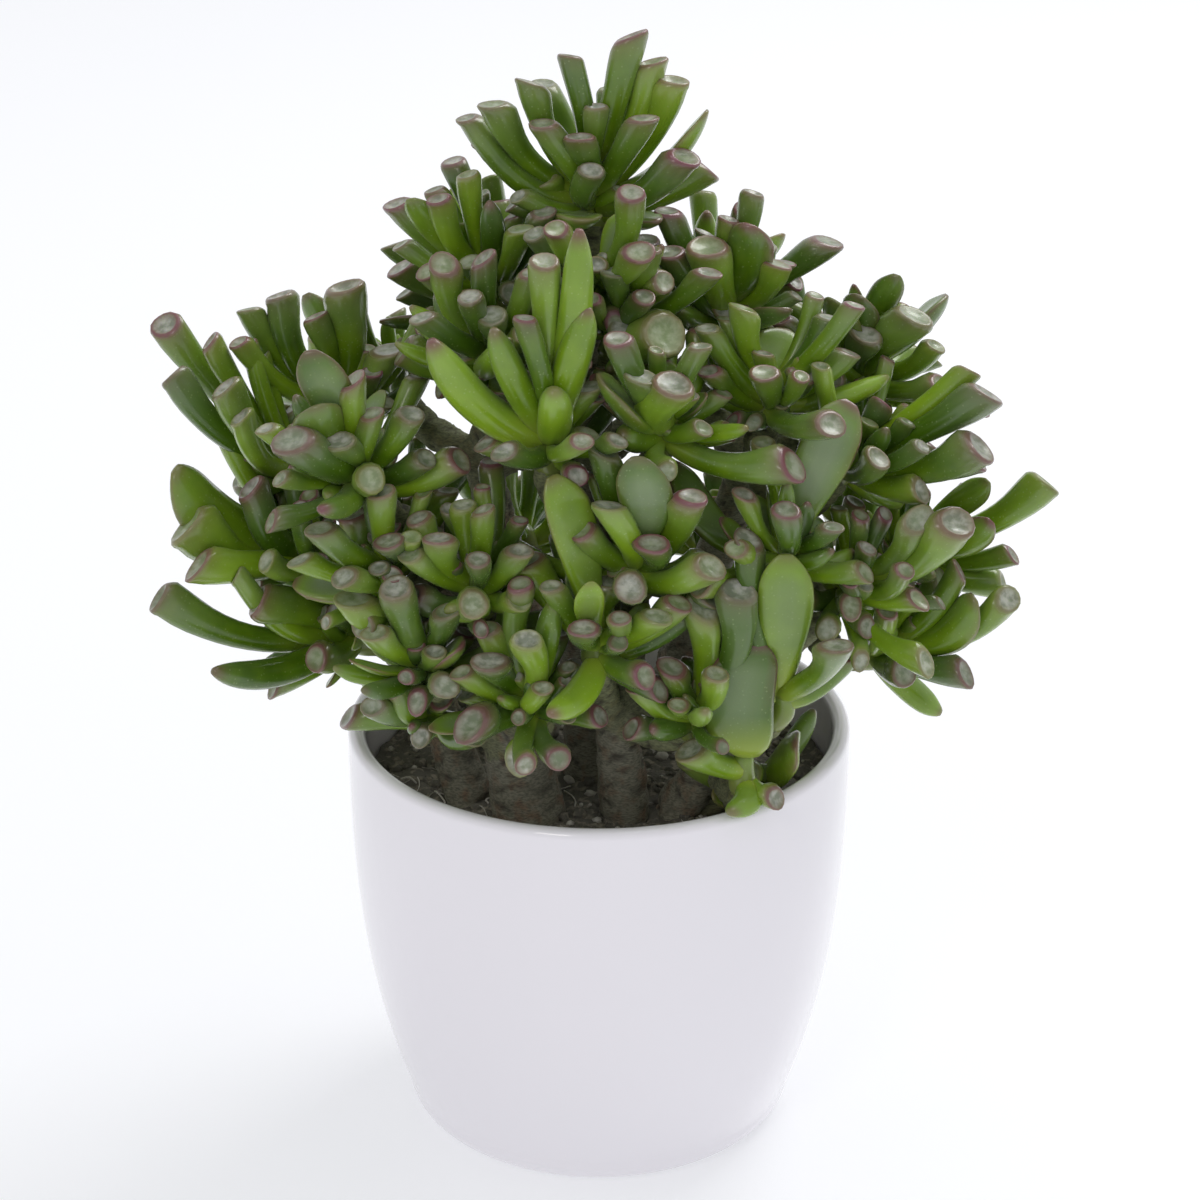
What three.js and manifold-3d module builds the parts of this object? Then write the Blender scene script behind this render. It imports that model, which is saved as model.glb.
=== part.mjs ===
// A potted jade plant of the trumpet-leaf kind: a glazed cover pot, its soil, seven woody stems and the leafy
// shoots that stand on their branches. Millimetres, +Z up, origin at the middle of the pot's flat underside.
import * as THREE from "three";
import { mergeVertices } from "three/addons/utils/BufferGeometryUtils.js";
import Module from "manifold-3d";

// Pot
const rimDiameter = 145;
const potHeight = 124;
const footDiameter = 108; // where the pot's side line would meet the ground
const standDiameter = 97; // the ring that the pot stands on
const footRise = 8; // height up to which the side is rounded in to that ring
const potWall = 5;
const potFloor = 7;
const sidePower = 2.8; // how quickly the side turns in towards the foot
const floorCorner = 6; // how far the inside curves in at the floor
const potSides = 36;

// Soil
const soilBelowRim = 17;
const soilCrown = 3; // how much higher the soil is in the middle than at the wall
const crownShoulder = 0.55; // how far out the soil's mound reaches its shoulder
const crownShare = 0.8; // and how much of its height it has there
const rootDepth = 34; // how far each stem runs down into the soil

// Plant
const gap = 0.3; // clearance between neighbouring pieces
const stalkLength = 12; // the green tip of a branch that carries the leaves of one shoot
const stalkRadius = 4.2;
const limbTaper = 0.78; // end radius of a twig over its start radius
const rootTaper = 0.35; // radius at the lower end of a root over the stem's radius at the soil
const knuckleShare = 1.06; // size of the rounded knuckle at a joint over the limb's own
const twigBend = 0.35; // how far before a shoot's foot its twig turns the shoot's way, as a share of its length
const stalkTaper = 0.5; // radius at the top of a stalk over that at its foot
const leafSides = 4;
const limbSides = 5;
const stalkSides = 5;
const goldenTurn = 137.5; // degrees from one leaf to the next up a shoot
const cutSlope = 0.75; // how obliquely a trumpet leaf ends: millimetres lost per millimetre across
const cutShare = 0.35; // how far short of its point the middle of that cut lies, as a share of the breadth
const leafBow = 23; // degrees by which a leaf sets out lower than the way it points, before it bows upwards
const highSeat = 0.9; // where on the stalk its most upright leaves spring from, as a share of its length
const lowSeat = 0.22; // and its most open ones
const openest = 110; // degrees off the stalk at which a leaf would spring from the stalk's very foot

const soilTop = potHeight - soilBelowRim;
const rimRadius = rimDiameter / 2;

const glaze = () => new THREE.MeshStandardMaterial({ color: 0xf0eff3, roughness: 0.15 });
const pottingSoil = () => new THREE.MeshStandardMaterial({ color: 0x2c2521, roughness: 0.95 });
const stemBark = () => new THREE.MeshStandardMaterial({ color: 0x6b6253, roughness: 0.8 });
const jadeLeaf = () => new THREE.MeshStandardMaterial({ color: 0x5f9a2f, roughness: 0.4 });

// Stems. Each joint is [name, parent joint, x, y, height above the soil, radius]; the first has no parent and
// stands at the soil.
const stems = {
  stem_large: [
    ["foot", null, -20, -29, 0, 10.5],
    ["fork", "foot", -24, -31, 28, 8.5],
    ["left", "fork", -38, -28, 52, 6],
    ["high", "left", -42, -22, 82, 5.5],
    ["front", "fork", -22, -40, 36, 5],
  ],
  stem_left: [
    ["foot", null, -37, -19, 0, 7],
    ["bend", "foot", -46, -10, 26, 5.5],
    ["out", "bend", -60, -4, 58, 5],
  ],
  stem_front: [
    ["foot", null, 7, -30, 0, 7],
    ["fork", "foot", 5, -33, 34, 6],
    ["high", "fork", 2, -30, 82, 5],
  ],
  stem_right: [
    ["foot", null, 22, -26, 0, 6.5],
    ["bend", "foot", 33, -30, 18, 5.8],
    ["fork", "bend", 44, -28, 46, 5.2],
    ["high", "fork", 50, -22, 84, 4.8],
  ],
  stem_middle: [
    ["foot", null, -2, -6, 0, 8],
    ["fork", "foot", -6, -2, 95, 7],
    ["high", "fork", -5, 2, 138, 5.5],
  ],
  stem_back_right: [
    ["foot", null, 18, 18, 0, 8],
    ["fork", "foot", 30, 22, 45, 6.5],
    ["high", "fork", 42, 22, 85, 5.2],
    ["out", "fork", 58, 10, 48, 5],
  ],
  stem_back_left: [
    ["foot", null, -20, 20, 0, 8],
    ["fork", "foot", -24, 30, 42, 6.5],
    ["high", "fork", -34, 30, 85, 5.2],
  ],
};

// Shoots. Each stands on a joint of a stem; at is its foot (x, y, height above the soil) and grows is the way it
// points (turn about Z from +X, lean from upright, degrees). A leaf is [kind, turn, lean, length, breadth], with a
// bow of its own where it curves more or less than the others. The leaves set by hand are the ones with a place of
// their own; fill more follow the spiral of the species, out to the open angle.
const shoots = [
  { name: "shoot_crown", on: ["stem_middle", "high"], at: [-2, 4, 165], grows: [0, 0], fill: 9, open: 80, leaves: [
    ["trumpet", 185, 55, 42, 9, 44], ["trumpet", 200, 45, 40, 8, 40], ["trumpet", 175, 60, 33, 8, 44],
    ["trumpet", 210, 30, 38, 8, 36], ["tube", 235, 15, 40, 7], ["trumpet", 340, 15, 44, 9],
    ["trumpet", 350, 25, 40, 8, 34], ["trumpet", 350, 35, 40, 9, 40], ["spoon", 345, 50, 42, 11, 44],
    ["trumpet", 330, 60, 34, 10, 38], ["trumpet", 310, 40, 34, 9], ["trumpet", 230, 40, 32, 10],
    ["trumpet", 260, 40, 28, 9], ["trumpet", 270, 55, 26, 9], ["spoon", 265, 80, 24, 12],
    ["spoon", 320, 85, 24, 10]] },
  { name: "shoot_collar", on: ["stem_middle", "high"], at: [0, -8, 150], grows: [270, 50], fill: 4, open: 70, leaves: [
    ["trumpet", 300, 60, 26, 8], ["trumpet", 240, 50, 30, 8], ["trumpet", 225, 85, 26, 8],
    ["finger", 260, 60, 36, 7], ["trumpet", 285, 110, 20, 7], ["trumpet", 320, 80, 24, 8]] },
  { name: "shoot_upper_left", on: ["stem_middle", "fork"], at: [-26, 4, 142], grows: [180, 25], fill: 6, open: 80,
    leaves: [
    ["spoon", 220, 45, 38, 10], ["trumpet", 235, 40, 36, 8], ["finger", 270, 35, 34, 8],
    ["trumpet", 250, 25, 36, 7], ["trumpet", 230, 70, 30, 8], ["trumpet", 195, 50, 34, 9],
    ["trumpet", 310, 40, 34, 8], ["trumpet", 255, 60, 28, 8], ["trumpet", 290, 45, 32, 7]] },
  { name: "shoot_upper_left_front", on: ["stem_middle", "fork"], at: [-27, -18, 130], grows: [230, 30], fill: 5,
    open: 80, leaves: [
    ["trumpet", 225, 30, 30, 8], ["trumpet", 270, 25, 32, 8], ["trumpet", 260, 45, 30, 8],
    ["trumpet", 275, 50, 26, 8], ["trumpet", 295, 60, 26, 8], ["trumpet", 310, 35, 34, 8],
    ["finger", 280, 65, 36, 9], ["trumpet", 235, 60, 34, 8]] },
  { name: "shoot_centre_long", on: ["stem_front", "high"], at: [-13, -42, 112], grows: [270, 5], fill: 3, open: 60,
    leaves: [
    ["finger", 300, 15, 62, 9], ["finger", 310, 22, 42, 10], ["finger", 200, 45, 46, 12, 38],
    ["finger", 275, 40, 26, 10], ["finger", 225, 30, 40, 10], ["trumpet", 250, 25, 42, 8],
    ["trumpet", 265, 12, 52, 8]] },
  { name: "shoot_centre_high", on: ["stem_middle", "fork"], at: [4, -12, 134], grows: [300, 15], fill: 5, open: 75,
    leaves: [
    ["trumpet", 265, 40, 26, 7], ["trumpet", 290, 55, 26, 8], ["trumpet", 295, 35, 30, 8],
    ["trumpet", 300, 75, 28, 14], ["trumpet", 275, 70, 20, 8], ["trumpet", 250, 55, 26, 7]] },
  { name: "shoot_upper_right", on: ["stem_middle", "fork"], at: [32, 5, 133], grows: [0, 20], fill: 6, open: 80,
    leaves: [
    ["trumpet", 255, 40, 34, 12], ["spoon", 285, 35, 36, 14], ["trumpet", 300, 20, 36, 7],
    ["trumpet", 310, 50, 28, 8], ["trumpet", 230, 45, 34, 9], ["trumpet", 205, 30, 36, 9],
    ["trumpet", 270, 25, 32, 8]] },
  { name: "shoot_centre_right", on: ["stem_front", "high"], at: [16, -35, 115], grows: [300, 20], fill: 4, open: 80,
    leaves: [
    ["trumpet", 275, 50, 30, 14], ["trumpet", 230, 35, 36, 9], ["trumpet", 250, 45, 28, 10],
    ["spoon", 220, 50, 30, 12], ["trumpet", 300, 35, 30, 8], ["finger", 235, 75, 20, 9],
    ["trumpet", 310, 75, 18, 7]] },
  { name: "shoot_right_front_high", on: ["stem_right", "high"], at: [45, -22, 117], grows: [20, 20], fill: 6,
    open: 80, leaves: [
    ["trumpet", 215, 55, 26, 8], ["trumpet", 260, 50, 24, 8], ["trumpet", 205, 40, 32, 9],
    ["trumpet", 225, 25, 32, 9], ["trumpet", 290, 55, 24, 7], ["trumpet", 250, 85, 14, 6],
    ["trumpet", 220, 90, 14, 6]] },
  { name: "shoot_right_high", on: ["stem_back_right", "high"], at: [71, 12, 113], grows: [30, 30], fill: 6, open: 80,
    leaves: [
    ["spoon", 240, 35, 34, 12], ["trumpet", 205, 50, 34, 9], ["spoon", 260, 30, 32, 11],
    ["spoon", 300, 25, 34, 9], ["trumpet", 305, 45, 32, 12], ["trumpet", 230, 50, 28, 9],
    ["trumpet", 270, 45, 26, 10], ["trumpet", 318, 62, 30, 8], ["trumpet", 310, 78, 34, 8],
    ["trumpet", 275, 75, 20, 7], ["trumpet", 245, 70, 22, 7]] },
  { name: "shoot_right_out", on: ["stem_right", "high"], at: [65, -18, 99], grows: [20, 45], fill: 5, open: 70,
    leaves: [
    ["trumpet", 332, 57, 46, 9], ["trumpet", 322, 72, 44, 10],
    ["trumpet", 340, 48, 42, 8], ["finger", 295, 50, 26, 6], ["trumpet", 285, 65, 30, 9],
    ["tube", 305, 65, 34, 6], ["trumpet", 315, 90, 28, 8]] },
  { name: "shoot_right_far", on: ["stem_back_right", "out"], at: [80, 5, 64], grows: [0, 55], fill: 5, open: 75,
    leaves: [
    ["trumpet", 335, 58, 48, 9], ["spoon", 330, 45, 34, 8], ["spoon", 318, 62, 34, 9],
    ["trumpet", 300, 25, 24, 8], ["tube", 312, 55, 26, 7], ["trumpet", 335, 85, 34, 7],
    ["trumpet", 298, 60, 26, 9], ["trumpet", 345, 105, 33, 9]] },
  { name: "shoot_right_low", on: ["stem_right", "fork"], at: [65, -28, 66], grows: [330, 40], fill: 6, open: 80,
    leaves: [
    ["trumpet", 335, 52, 36, 11], ["trumpet", 322, 40, 30, 8], ["tube", 270, 80, 20, 7],
    ["trumpet", 280, 40, 22, 7], ["tube", 300, 62, 28, 7], ["trumpet", 265, 60, 20, 7]] },
  { name: "shoot_right_lowest", on: ["stem_back_right", "out"], at: [74, -8, 40], grows: [350, 60], fill: 5,
    open: 75, leaves: [
    ["trumpet", 342, 62, 38, 8], ["spoon", 325, 52, 34, 11], ["trumpet", 285, 82, 26, 9],
    ["tube", 335, 38, 34, 7], ["trumpet", 310, 30, 24, 7]] },
  { name: "shoot_front_right", on: ["stem_right", "fork"], at: [47, -47, 39], grows: [300, 20], fill: 1, open: 75,
    leaves: [
    ["spoon", 275, 8, 44, 15], ["trumpet", 160, 25, 34, 13],
    ["trumpet", 308, 45, 34, 9], ["trumpet", 205, 12, 50, 9]] },
  { name: "shoot_front_oval", on: ["stem_right", "bend"], at: [40, -54, 22], grows: [270, 8], fill: 0, open: 75,
    leaves: [
    ["pad", 350, 3, 34, 20], ["trumpet", 200, 62, 20, 9], ["finger", 250, 108, 14, 8],
    ["trumpet", 320, 105, 12, 7]] },
  { name: "shoot_rim_right", on: ["stem_right", "foot"], at: [42, -28, 9], grows: [330, 60], fill: 2, open: 70,
    leaves: [
    ["pad", 295, 40, 22, 13], ["spoon", 230, 80, 20, 8], ["trumpet", 200, 60, 24, 9],
    ["trumpet", 250, 55, 14, 7]] },
  { name: "shoot_right_front_mid", on: ["stem_right", "high"], at: [48, -40, 80], grows: [300, 30], fill: 5,
    open: 80, leaves: [
    ["spoon", 30, 27, 45, 15, -26],
    ["trumpet", 265, 40, 24, 8], ["trumpet", 230, 65, 24, 8], ["trumpet", 310, 55, 22, 7],
    ["trumpet", 220, 85, 30, 8]] },
  { name: "shoot_front_centre_high", on: ["stem_front", "fork"], at: [10, -48, 78], grows: [270, 10], fill: 5,
    open: 80, leaves: [
    ["trumpet", 220, 50, 26, 9], ["spoon", 270, 20, 36, 13], ["trumpet", 285, 50, 22, 9],
    ["trumpet", 318, 38, 32, 12], ["trumpet", 215, 18, 36, 9], ["trumpet", 240, 35, 28, 9],
    ["trumpet", 320, 70, 28, 10], ["trumpet", 265, 75, 24, 9]] },
  { name: "shoot_front_centre", on: ["stem_front", "fork"], at: [0, -56, 60], grows: [270, 20], fill: 5, open: 85,
    leaves: [
    ["trumpet", 345, 55, 28, 8], ["spoon", 195, 15, 50, 14], ["trumpet", 215, 38, 26, 8],
    ["trumpet", 255, 55, 20, 8], ["tube", 290, 50, 22, 7], ["trumpet", 310, 90, 20, 8],
    ["trumpet", 325, 55, 24, 8], ["spoon", 260, 30, 24, 8], ["trumpet", 335, 110, 20, 8]] },
  { name: "shoot_front_left_low", on: ["stem_large", "front"], at: [-17, -54, 43], grows: [250, 30], fill: 4,
    open: 85, leaves: [
    ["trumpet", 245, 8, 36, 8], ["finger", 310, 18, 34, 8], ["trumpet", 270, 30, 26, 8],
    ["trumpet", 230, 45, 24, 9], ["trumpet", 285, 55, 18, 7], ["trumpet", 340, 85, 20, 7],
    ["trumpet", 225, 85, 24, 10], ["spoon", 200, 92, 30, 7], ["trumpet", 250, 125, 17, 7],
    ["trumpet", 200, 28, 26, 8], ["trumpet", 290, 105, 22, 7]] },
  { name: "shoot_front_right_low", on: ["stem_front", "fork"], at: [25, -48, 37], grows: [300, 30], fill: 4,
    open: 80, leaves: [
    ["trumpet", 210, 55, 24, 7], ["trumpet", 230, 35, 22, 8], ["trumpet", 285, 42, 22, 9],
    ["trumpet", 205, 85, 20, 7], ["trumpet", 250, 60, 20, 7], ["trumpet", 270, 12, 34, 9],
    ["trumpet", 320, 18, 40, 10]] },
  { name: "shoot_front_left", on: ["stem_large", "high"], at: [-32, -46, 72], grows: [240, 20], fill: 5, open: 80,
    leaves: [
    ["trumpet", 240, 42, 26, 9], ["trumpet", 285, 28, 30, 8], ["trumpet", 270, 75, 22, 8],
    ["trumpet", 305, 75, 22, 8], ["finger", 250, 80, 20, 9], ["trumpet", 218, 55, 26, 7],
    ["trumpet", 312, 48, 26, 8]] },
  { name: "shoot_left_front_low", on: ["stem_large", "left"], at: [-46, -48, 51], grows: [230, 25], fill: 5,
    open: 80, leaves: [
    ["trumpet", 250, 28, 30, 11], ["trumpet", 300, 38, 28, 8], ["spoon", 310, 55, 22, 10],
    ["trumpet", 232, 52, 24, 8], ["trumpet", 320, 80, 20, 8], ["trumpet", 290, 80, 20, 7],
    ["trumpet", 265, 95, 18, 7], ["trumpet", 205, 42, 28, 9]] },
  { name: "shoot_rim_left", on: ["stem_large", "fork"], at: [-42, -38, 33], grows: [220, 55], fill: 3, open: 75,
    leaves: [
    ["trumpet", 240, 45, 20, 7], ["trumpet", 228, 65, 22, 8], ["tube", 262, 85, 16, 7],
    ["trumpet", 210, 45, 24, 8]] },
  { name: "shoot_left_high", on: ["stem_left", "out"], at: [-69, 10, 102], grows: [180, 25], fill: 5, open: 75,
    leaves: [
    ["trumpet", 285, 18, 42, 12], ["trumpet", 220, 28, 40, 10], ["trumpet", 250, 25, 34, 7],
    ["trumpet", 210, 40, 42, 8], ["trumpet", 320, 38, 30, 9], ["trumpet", 255, 40, 24, 8],
    ["trumpet", 222, 52, 44, 7], ["trumpet", 300, 45, 26, 8]] },
  { name: "shoot_left_out", on: ["stem_left", "out"], at: [-78, -2, 91], grows: [190, 50], fill: 4, open: 70,
    leaves: [
    ["trumpet", 188, 38, 54, 8], ["trumpet", 208, 30, 46, 7], ["trumpet", 180, 15, 34, 7],
    ["trumpet", 205, 18, 40, 7], ["trumpet", 212, 47, 48, 9], ["trumpet", 235, 42, 44, 10],
    ["trumpet", 245, 50, 40, 8]] },
  { name: "shoot_left_front_high", on: ["stem_large", "high"], at: [-63, -35, 102], grows: [220, 25], fill: 4,
    open: 80, leaves: [
    ["spoon", 245, 38, 28, 13], ["spoon", 232, 22, 38, 12], ["trumpet", 232, 58, 30, 14],
    ["trumpet", 300, 32, 24, 9], ["trumpet", 330, 42, 28, 8], ["trumpet", 285, 72, 20, 8],
    ["trumpet", 262, 50, 22, 9], ["trumpet", 330, 65, 24, 8], ["trumpet", 280, 20, 30, 10],
    ["trumpet", 345, 72, 30, 9]] },
  { name: "shoot_left_far", on: ["stem_left", "out"], at: [-74, -10, 70], grows: [190, 60], fill: 4, open: 75,
    leaves: [
    ["pad", 208, 50, 48, 18], ["trumpet", 228, 40, 34, 12], ["trumpet", 180, 32, 42, 8],
    ["trumpet", 215, 12, 28, 9], ["trumpet", 300, 58, 20, 10], ["trumpet", 218, 66, 42, 12],
    ["trumpet", 228, 78, 44, 11], ["tube", 250, 72, 34, 7]] },
  { name: "shoot_left_low", on: ["stem_left", "bend"], at: [-63, -15, 48], grows: [190, 70], fill: 4, open: 75,
    leaves: [
    ["trumpet", 208, 68, 58, 9], ["trumpet", 222, 58, 36, 13], ["finger", 226, 84, 50, 9, 26],
    ["tube", 215, 52, 44, 8], ["trumpet", 255, 50, 24, 7], ["trumpet", 248, 82, 26, 10]] },
  { name: "shoot_left_front_mid", on: ["stem_large", "high"], at: [-54, -42, 75], grows: [220, 25], fill: 4,
    open: 80, leaves: [
    ["trumpet", 240, 72, 24, 8], ["trumpet", 275, 45, 22, 8], ["trumpet", 248, 102, 22, 8],
    ["trumpet", 295, 45, 24, 8], ["trumpet", 222, 52, 30, 10], ["trumpet", 270, 20, 28, 8]] },
  { name: "shoot_back_upper_left", on: ["stem_back_left", "high"], at: [-30, 32, 128], grows: [120, 30], fill: 9,
    open: 85, leaves: [] },
  { name: "shoot_back_upper_right", on: ["stem_back_right", "high"], at: [30, 34, 124], grows: [60, 30], fill: 9,
    open: 85, leaves: [] },
  { name: "shoot_back_left_high", on: ["stem_back_left", "high"], at: [-56, 42, 98], grows: [140, 45], fill: 9,
    open: 85, leaves: [] },
  { name: "shoot_back_right_high", on: ["stem_back_right", "high"], at: [58, 42, 96], grows: [40, 45], fill: 9,
    open: 85, leaves: [] },
  { name: "shoot_back_middle", on: ["stem_back_left", "high"], at: [-4, 54, 92], grows: [90, 45], fill: 9,
    open: 85, leaves: [] },
  { name: "shoot_back_left", on: ["stem_back_left", "fork"], at: [-52, 44, 56], grows: [150, 60], fill: 9,
    open: 85, leaves: [] },
  { name: "shoot_back_right", on: ["stem_back_right", "out"], at: [68, 36, 60], grows: [30, 60], fill: 9,
    open: 85, leaves: [] },
  { name: "shoot_back_low_left", on: ["stem_back_left", "fork"], at: [-22, 56, 44], grows: [105, 65], fill: 8,
    open: 80, leaves: [] },
  { name: "shoot_back_low_right", on: ["stem_back_right", "fork"], at: [30, 54, 42], grows: [75, 65], fill: 8,
    open: 80, leaves: [] },
  { name: "shoot_left_side", on: ["stem_left", "bend"], at: [-64, 16, 46], grows: [165, 65], fill: 7, open: 75,
    leaves: [] },
];

const xAxis = new THREE.Vector3(1, 0, 0);
const yAxis = new THREE.Vector3(0, 1, 0);
const radians = (degrees) => (degrees * Math.PI) / 180;
const along = (point, way, distance) => point.clone().addScaledVector(way, distance);

// The unit vector that turns about Z from +X and leans from upright.
function pointing(turn, lean) {
  const [t, l] = [radians(turn), radians(lean)];
  return new THREE.Vector3(Math.cos(t) * Math.sin(l), Math.sin(t) * Math.sin(l), Math.cos(l));
}

const wasm = await Module();
wasm.setup();

// A closed three.js geometry as a manifold-3d solid, with its shared vertices merged.
function solidOf(geometry) {
  const bare = geometry.clone();
  bare.deleteAttribute("normal");
  bare.deleteAttribute("uv");
  const merged = mergeVertices(bare, 1e-3);
  return new wasm.Manifold(new wasm.Mesh({
    numProp: 3, vertProperties: merged.attributes.position.array, triVerts: merged.index.array,
  }));
}

function meshOf(name, solid, material) {
  const { vertProperties, triVerts } = solid.getMesh();
  const geometry = new THREE.BufferGeometry();
  geometry.setAttribute("position", new THREE.BufferAttribute(new Float32Array(vertProperties), 3));
  geometry.setIndex(new THREE.BufferAttribute(new Uint32Array(triVerts), 1));
  const mesh = new THREE.Mesh(geometry, material);
  mesh.name = name;
  return mesh;
}

// The biggest separate body of a solid, so that a neighbour's cut leaves no loose crumb.
function mainBody(solid) {
  return solid.decompose().reduce((big, one) => (one.volume() > big.volume() ? one : big));
}

// A closed solid through a row of rings with the same number of points each, from a point of its own or from a
// flat first ring. The ring points run anticlockwise about the way of travel; the far end is a flat fan.
function skin(rings, point) {
  const sides = rings[0].length;
  const vertices = rings.flat().flatMap((p) => [p.x, p.y, p.z]);
  const faces = [];
  for (let ring = 0; ring < rings.length - 1; ring++)
    for (let i = 0; i < sides; i++) {
      const [a, b] = [ring * sides + i, ring * sides + ((i + 1) % sides)];
      faces.push(a, b, b + sides, a, b + sides, a + sides);
    }
  const last = (rings.length - 1) * sides;
  for (let i = 1; i < sides - 1; i++) faces.push(last, last + i, last + i + 1);
  if (point) {
    vertices.push(point.x, point.y, point.z);
    for (let i = 0; i < sides; i++) faces.push(last + sides, (i + 1) % sides, i);
  } else for (let i = 1; i < sides - 1; i++) faces.push(0, i + 1, i);
  const geometry = new THREE.BufferGeometry();
  geometry.setAttribute("position", new THREE.BufferAttribute(new Float32Array(vertices), 3));
  geometry.setIndex(faces);
  return solidOf(geometry);
}

// A ring of points about centre: breadth along one side vector, depth along the other, and a lengthwise slip
// per millimetre of depth, for an oblique end.
function ringAt(centre, side, face, way, breadth, depth, sides, slip = 0) {
  return Array.from({ length: sides }, (_, i) => {
    const angle = (2 * Math.PI * i) / sides;
    const out = depth * Math.sin(angle);
    return along(along(along(centre, side, breadth * Math.cos(angle)), face, out), way, -slip * out);
  });
}

// How broad and how thick each kind of leaf is along its length: [share of the length, half breadth and half
// depth as shares of the full breadth].
const leafShapes = {
  trumpet: [[0.45, 0.38, 0.34], [1, 0.52, 0.46]],
  tube: [[0.45, 0.44, 0.42], [1, 0.48, 0.45]],
  finger: [[0.5, 0.54, 0.42], [1, 0.24, 0.18]],
  spoon: [[0.6, 0.54, 0.2], [1, 0.24, 0.08]],
  pad: [[0.25, 0.46, 0.22], [0.7, 0.48, 0.2], [1, 0.2, 0.08]],
};
const isOpen = (kind) => kind === "trumpet" || kind === "tube"; // a leaf that ends in an oblique cut

// A leaf's own lines: where it springs from its shoot's stalk, its tip, its middle bend and its side vectors.
function leafOf(shoot, [kind, turn, lean, length, breadth, bow = leafBow]) {
  const way = pointing(turn, lean);
  const offAxis = THREE.MathUtils.radToDeg(way.angleTo(shoot.heading));
  const seat = THREE.MathUtils.clamp(1 - offAxis / openest, lowSeat, highSeat);
  const foot = along(shoot.foot, shoot.heading, stalkLength * seat);
  const reach = length - (isOpen(kind) ? cutShare * breadth : 0);
  const middle = along(foot, pointing(turn, lean + bow * Math.sin(radians(lean))), reach / 2);
  const upright = Math.abs(way.dot(shoot.heading)) > 0.97 ? new THREE.Vector3(0, -1, 0) : shoot.heading;
  const face = along(upright, way, -upright.dot(way)).normalize();
  return { kind, way, foot, middle, tip: along(foot, way, reach), face, side: face.clone().cross(way), breadth };
}

function pointOn(leaf, t) {
  return new THREE.QuadraticBezierCurve3(leaf.foot, leaf.middle, leaf.tip).getPoint(t);
}

function leafSolid(leaf, more) {
  const shape = leafShapes[leaf.kind];
  const cut = isOpen(leaf.kind) ? cutSlope : 0;
  return skin(shape.map(([t, half, depth], i) => {
    const centre = along(pointOn(leaf, t), leaf.way, t === 1 ? more : 0);
    const slip = i === shape.length - 1 ? cut : 0;
    return ringAt(centre, leaf.side, leaf.face, leaf.way, leaf.breadth * half + more,
      leaf.breadth * depth + more, leafSides, slip);
  }), leaf.foot);
}

// Balls along a leaf's middle line, from near its foot to its tip, that stand for it when room is looked for.
const ballPlaces = [0.3, 0.5, 0.7, 0.9];
function ballsOf(leaf, shoot) {
  const half = { trumpet: 0.4, tube: 0.44, finger: 0.42, spoon: 0.36, pad: 0.4 }[leaf.kind] * leaf.breadth;
  return ballPlaces.map((t) => ({ at: pointOn(leaf, t), radius: half, far: t > 0.4, shoot }));
}

const stemJoints = {};
for (const [stem, joints] of Object.entries(stems))
  for (const [name, parent, x, y, height, radius] of joints)
    stemJoints[`${stem}.${name}`] = { stem, parent, at: new THREE.Vector3(x, y, soilTop + height), radius };

for (const shoot of shoots) {
  const [x, y, height] = shoot.at;
  shoot.foot = new THREE.Vector3(x, y, soilTop + height);
  shoot.heading = pointing(...shoot.grows);
  shoot.joint = stemJoints[shoot.on.join(".")];
}

// Every limb as a tapered run: trunk and branches from joint to joint, then a twig to each shoot.
const limbs = [];
for (const joint of Object.values(stemJoints)) {
  if (joint.parent) {
    const parent = stemJoints[`${joint.stem}.${joint.parent}`];
    limbs.push({ stem: joint.stem, from: parent.at, to: joint.at, start: parent.radius, end: joint.radius });
  } else {
    const root = along(joint.at, new THREE.Vector3(0, 0, -1), rootDepth);
    limbs.push({ stem: joint.stem, from: root, to: joint.at, start: joint.radius * rootTaper, end: joint.radius });
  }
}
for (const shoot of shoots) {
  const start = Math.min(shoot.joint.radius, stalkRadius / limbTaper);
  const to = along(shoot.foot, shoot.heading, -1.5 * gap);
  limbs.push({ stem: shoot.joint.stem, from: shoot.joint.at, to, start, end: stalkRadius, heading: shoot.heading });
}

// A limb bows gently upwards; its two ends are square to the way it sets out and the way it arrives.
function limbSolid(limb, more) {
  const span = limb.from.distanceTo(limb.to);
  const arrival = limb.heading ?? limb.to.clone().sub(limb.from).normalize();
  const bend = along(limb.to, arrival, -span * (limb.heading ? twigBend : 0.5));
  const curve = new THREE.QuadraticBezierCurve3(limb.from, bend, limb.to);
  const steady = Math.abs(limb.to.y - limb.from.y) > 0.7 * span ? xAxis : yAxis;
  return skin([0, 0.5, 1].map((t) => {
    const way = curve.getTangent(t);
    const side = steady.clone().cross(way).normalize();
    const radius = THREE.MathUtils.lerp(limb.start, limb.end, t) + more;
    const shift = t === 0 ? -more : t === 1 ? more : 0;
    return ringAt(along(curve.getPoint(t), way, shift), side, way.clone().cross(side), way, radius, radius, limbSides);
  }));
}

// A rounded knuckle where limbs meet.
function knuckle(joint, more) {
  const ball = new THREE.IcosahedronGeometry(joint.radius * knuckleShare + more, 0);
  return solidOf(ball.translate(joint.at.x, joint.at.y, joint.at.z));
}

function stemSolid(stem, more) {
  const parts = limbs.filter((limb) => limb.stem === stem).map((limb) => limbSolid(limb, more));
  for (const joint of Object.values(stemJoints))
    if (joint.stem === stem && joint.parent) parts.push(knuckle(joint, more));
  return wasm.Manifold.union(parts);
}

function stalkSolid(shoot, more) {
  const { foot, heading } = shoot;
  const side = (Math.abs(heading.y) > 0.8 ? xAxis : yAxis).clone().cross(heading).normalize();
  const face = heading.clone().cross(side);
  return skin([[-more, 1], [stalkLength + more, stalkTaper]].map(([up, share]) => {
    const radius = stalkRadius * share + more;
    return ringAt(along(foot, heading, up), side, face, heading, radius, radius, stalkSides);
  }));
}

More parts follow.
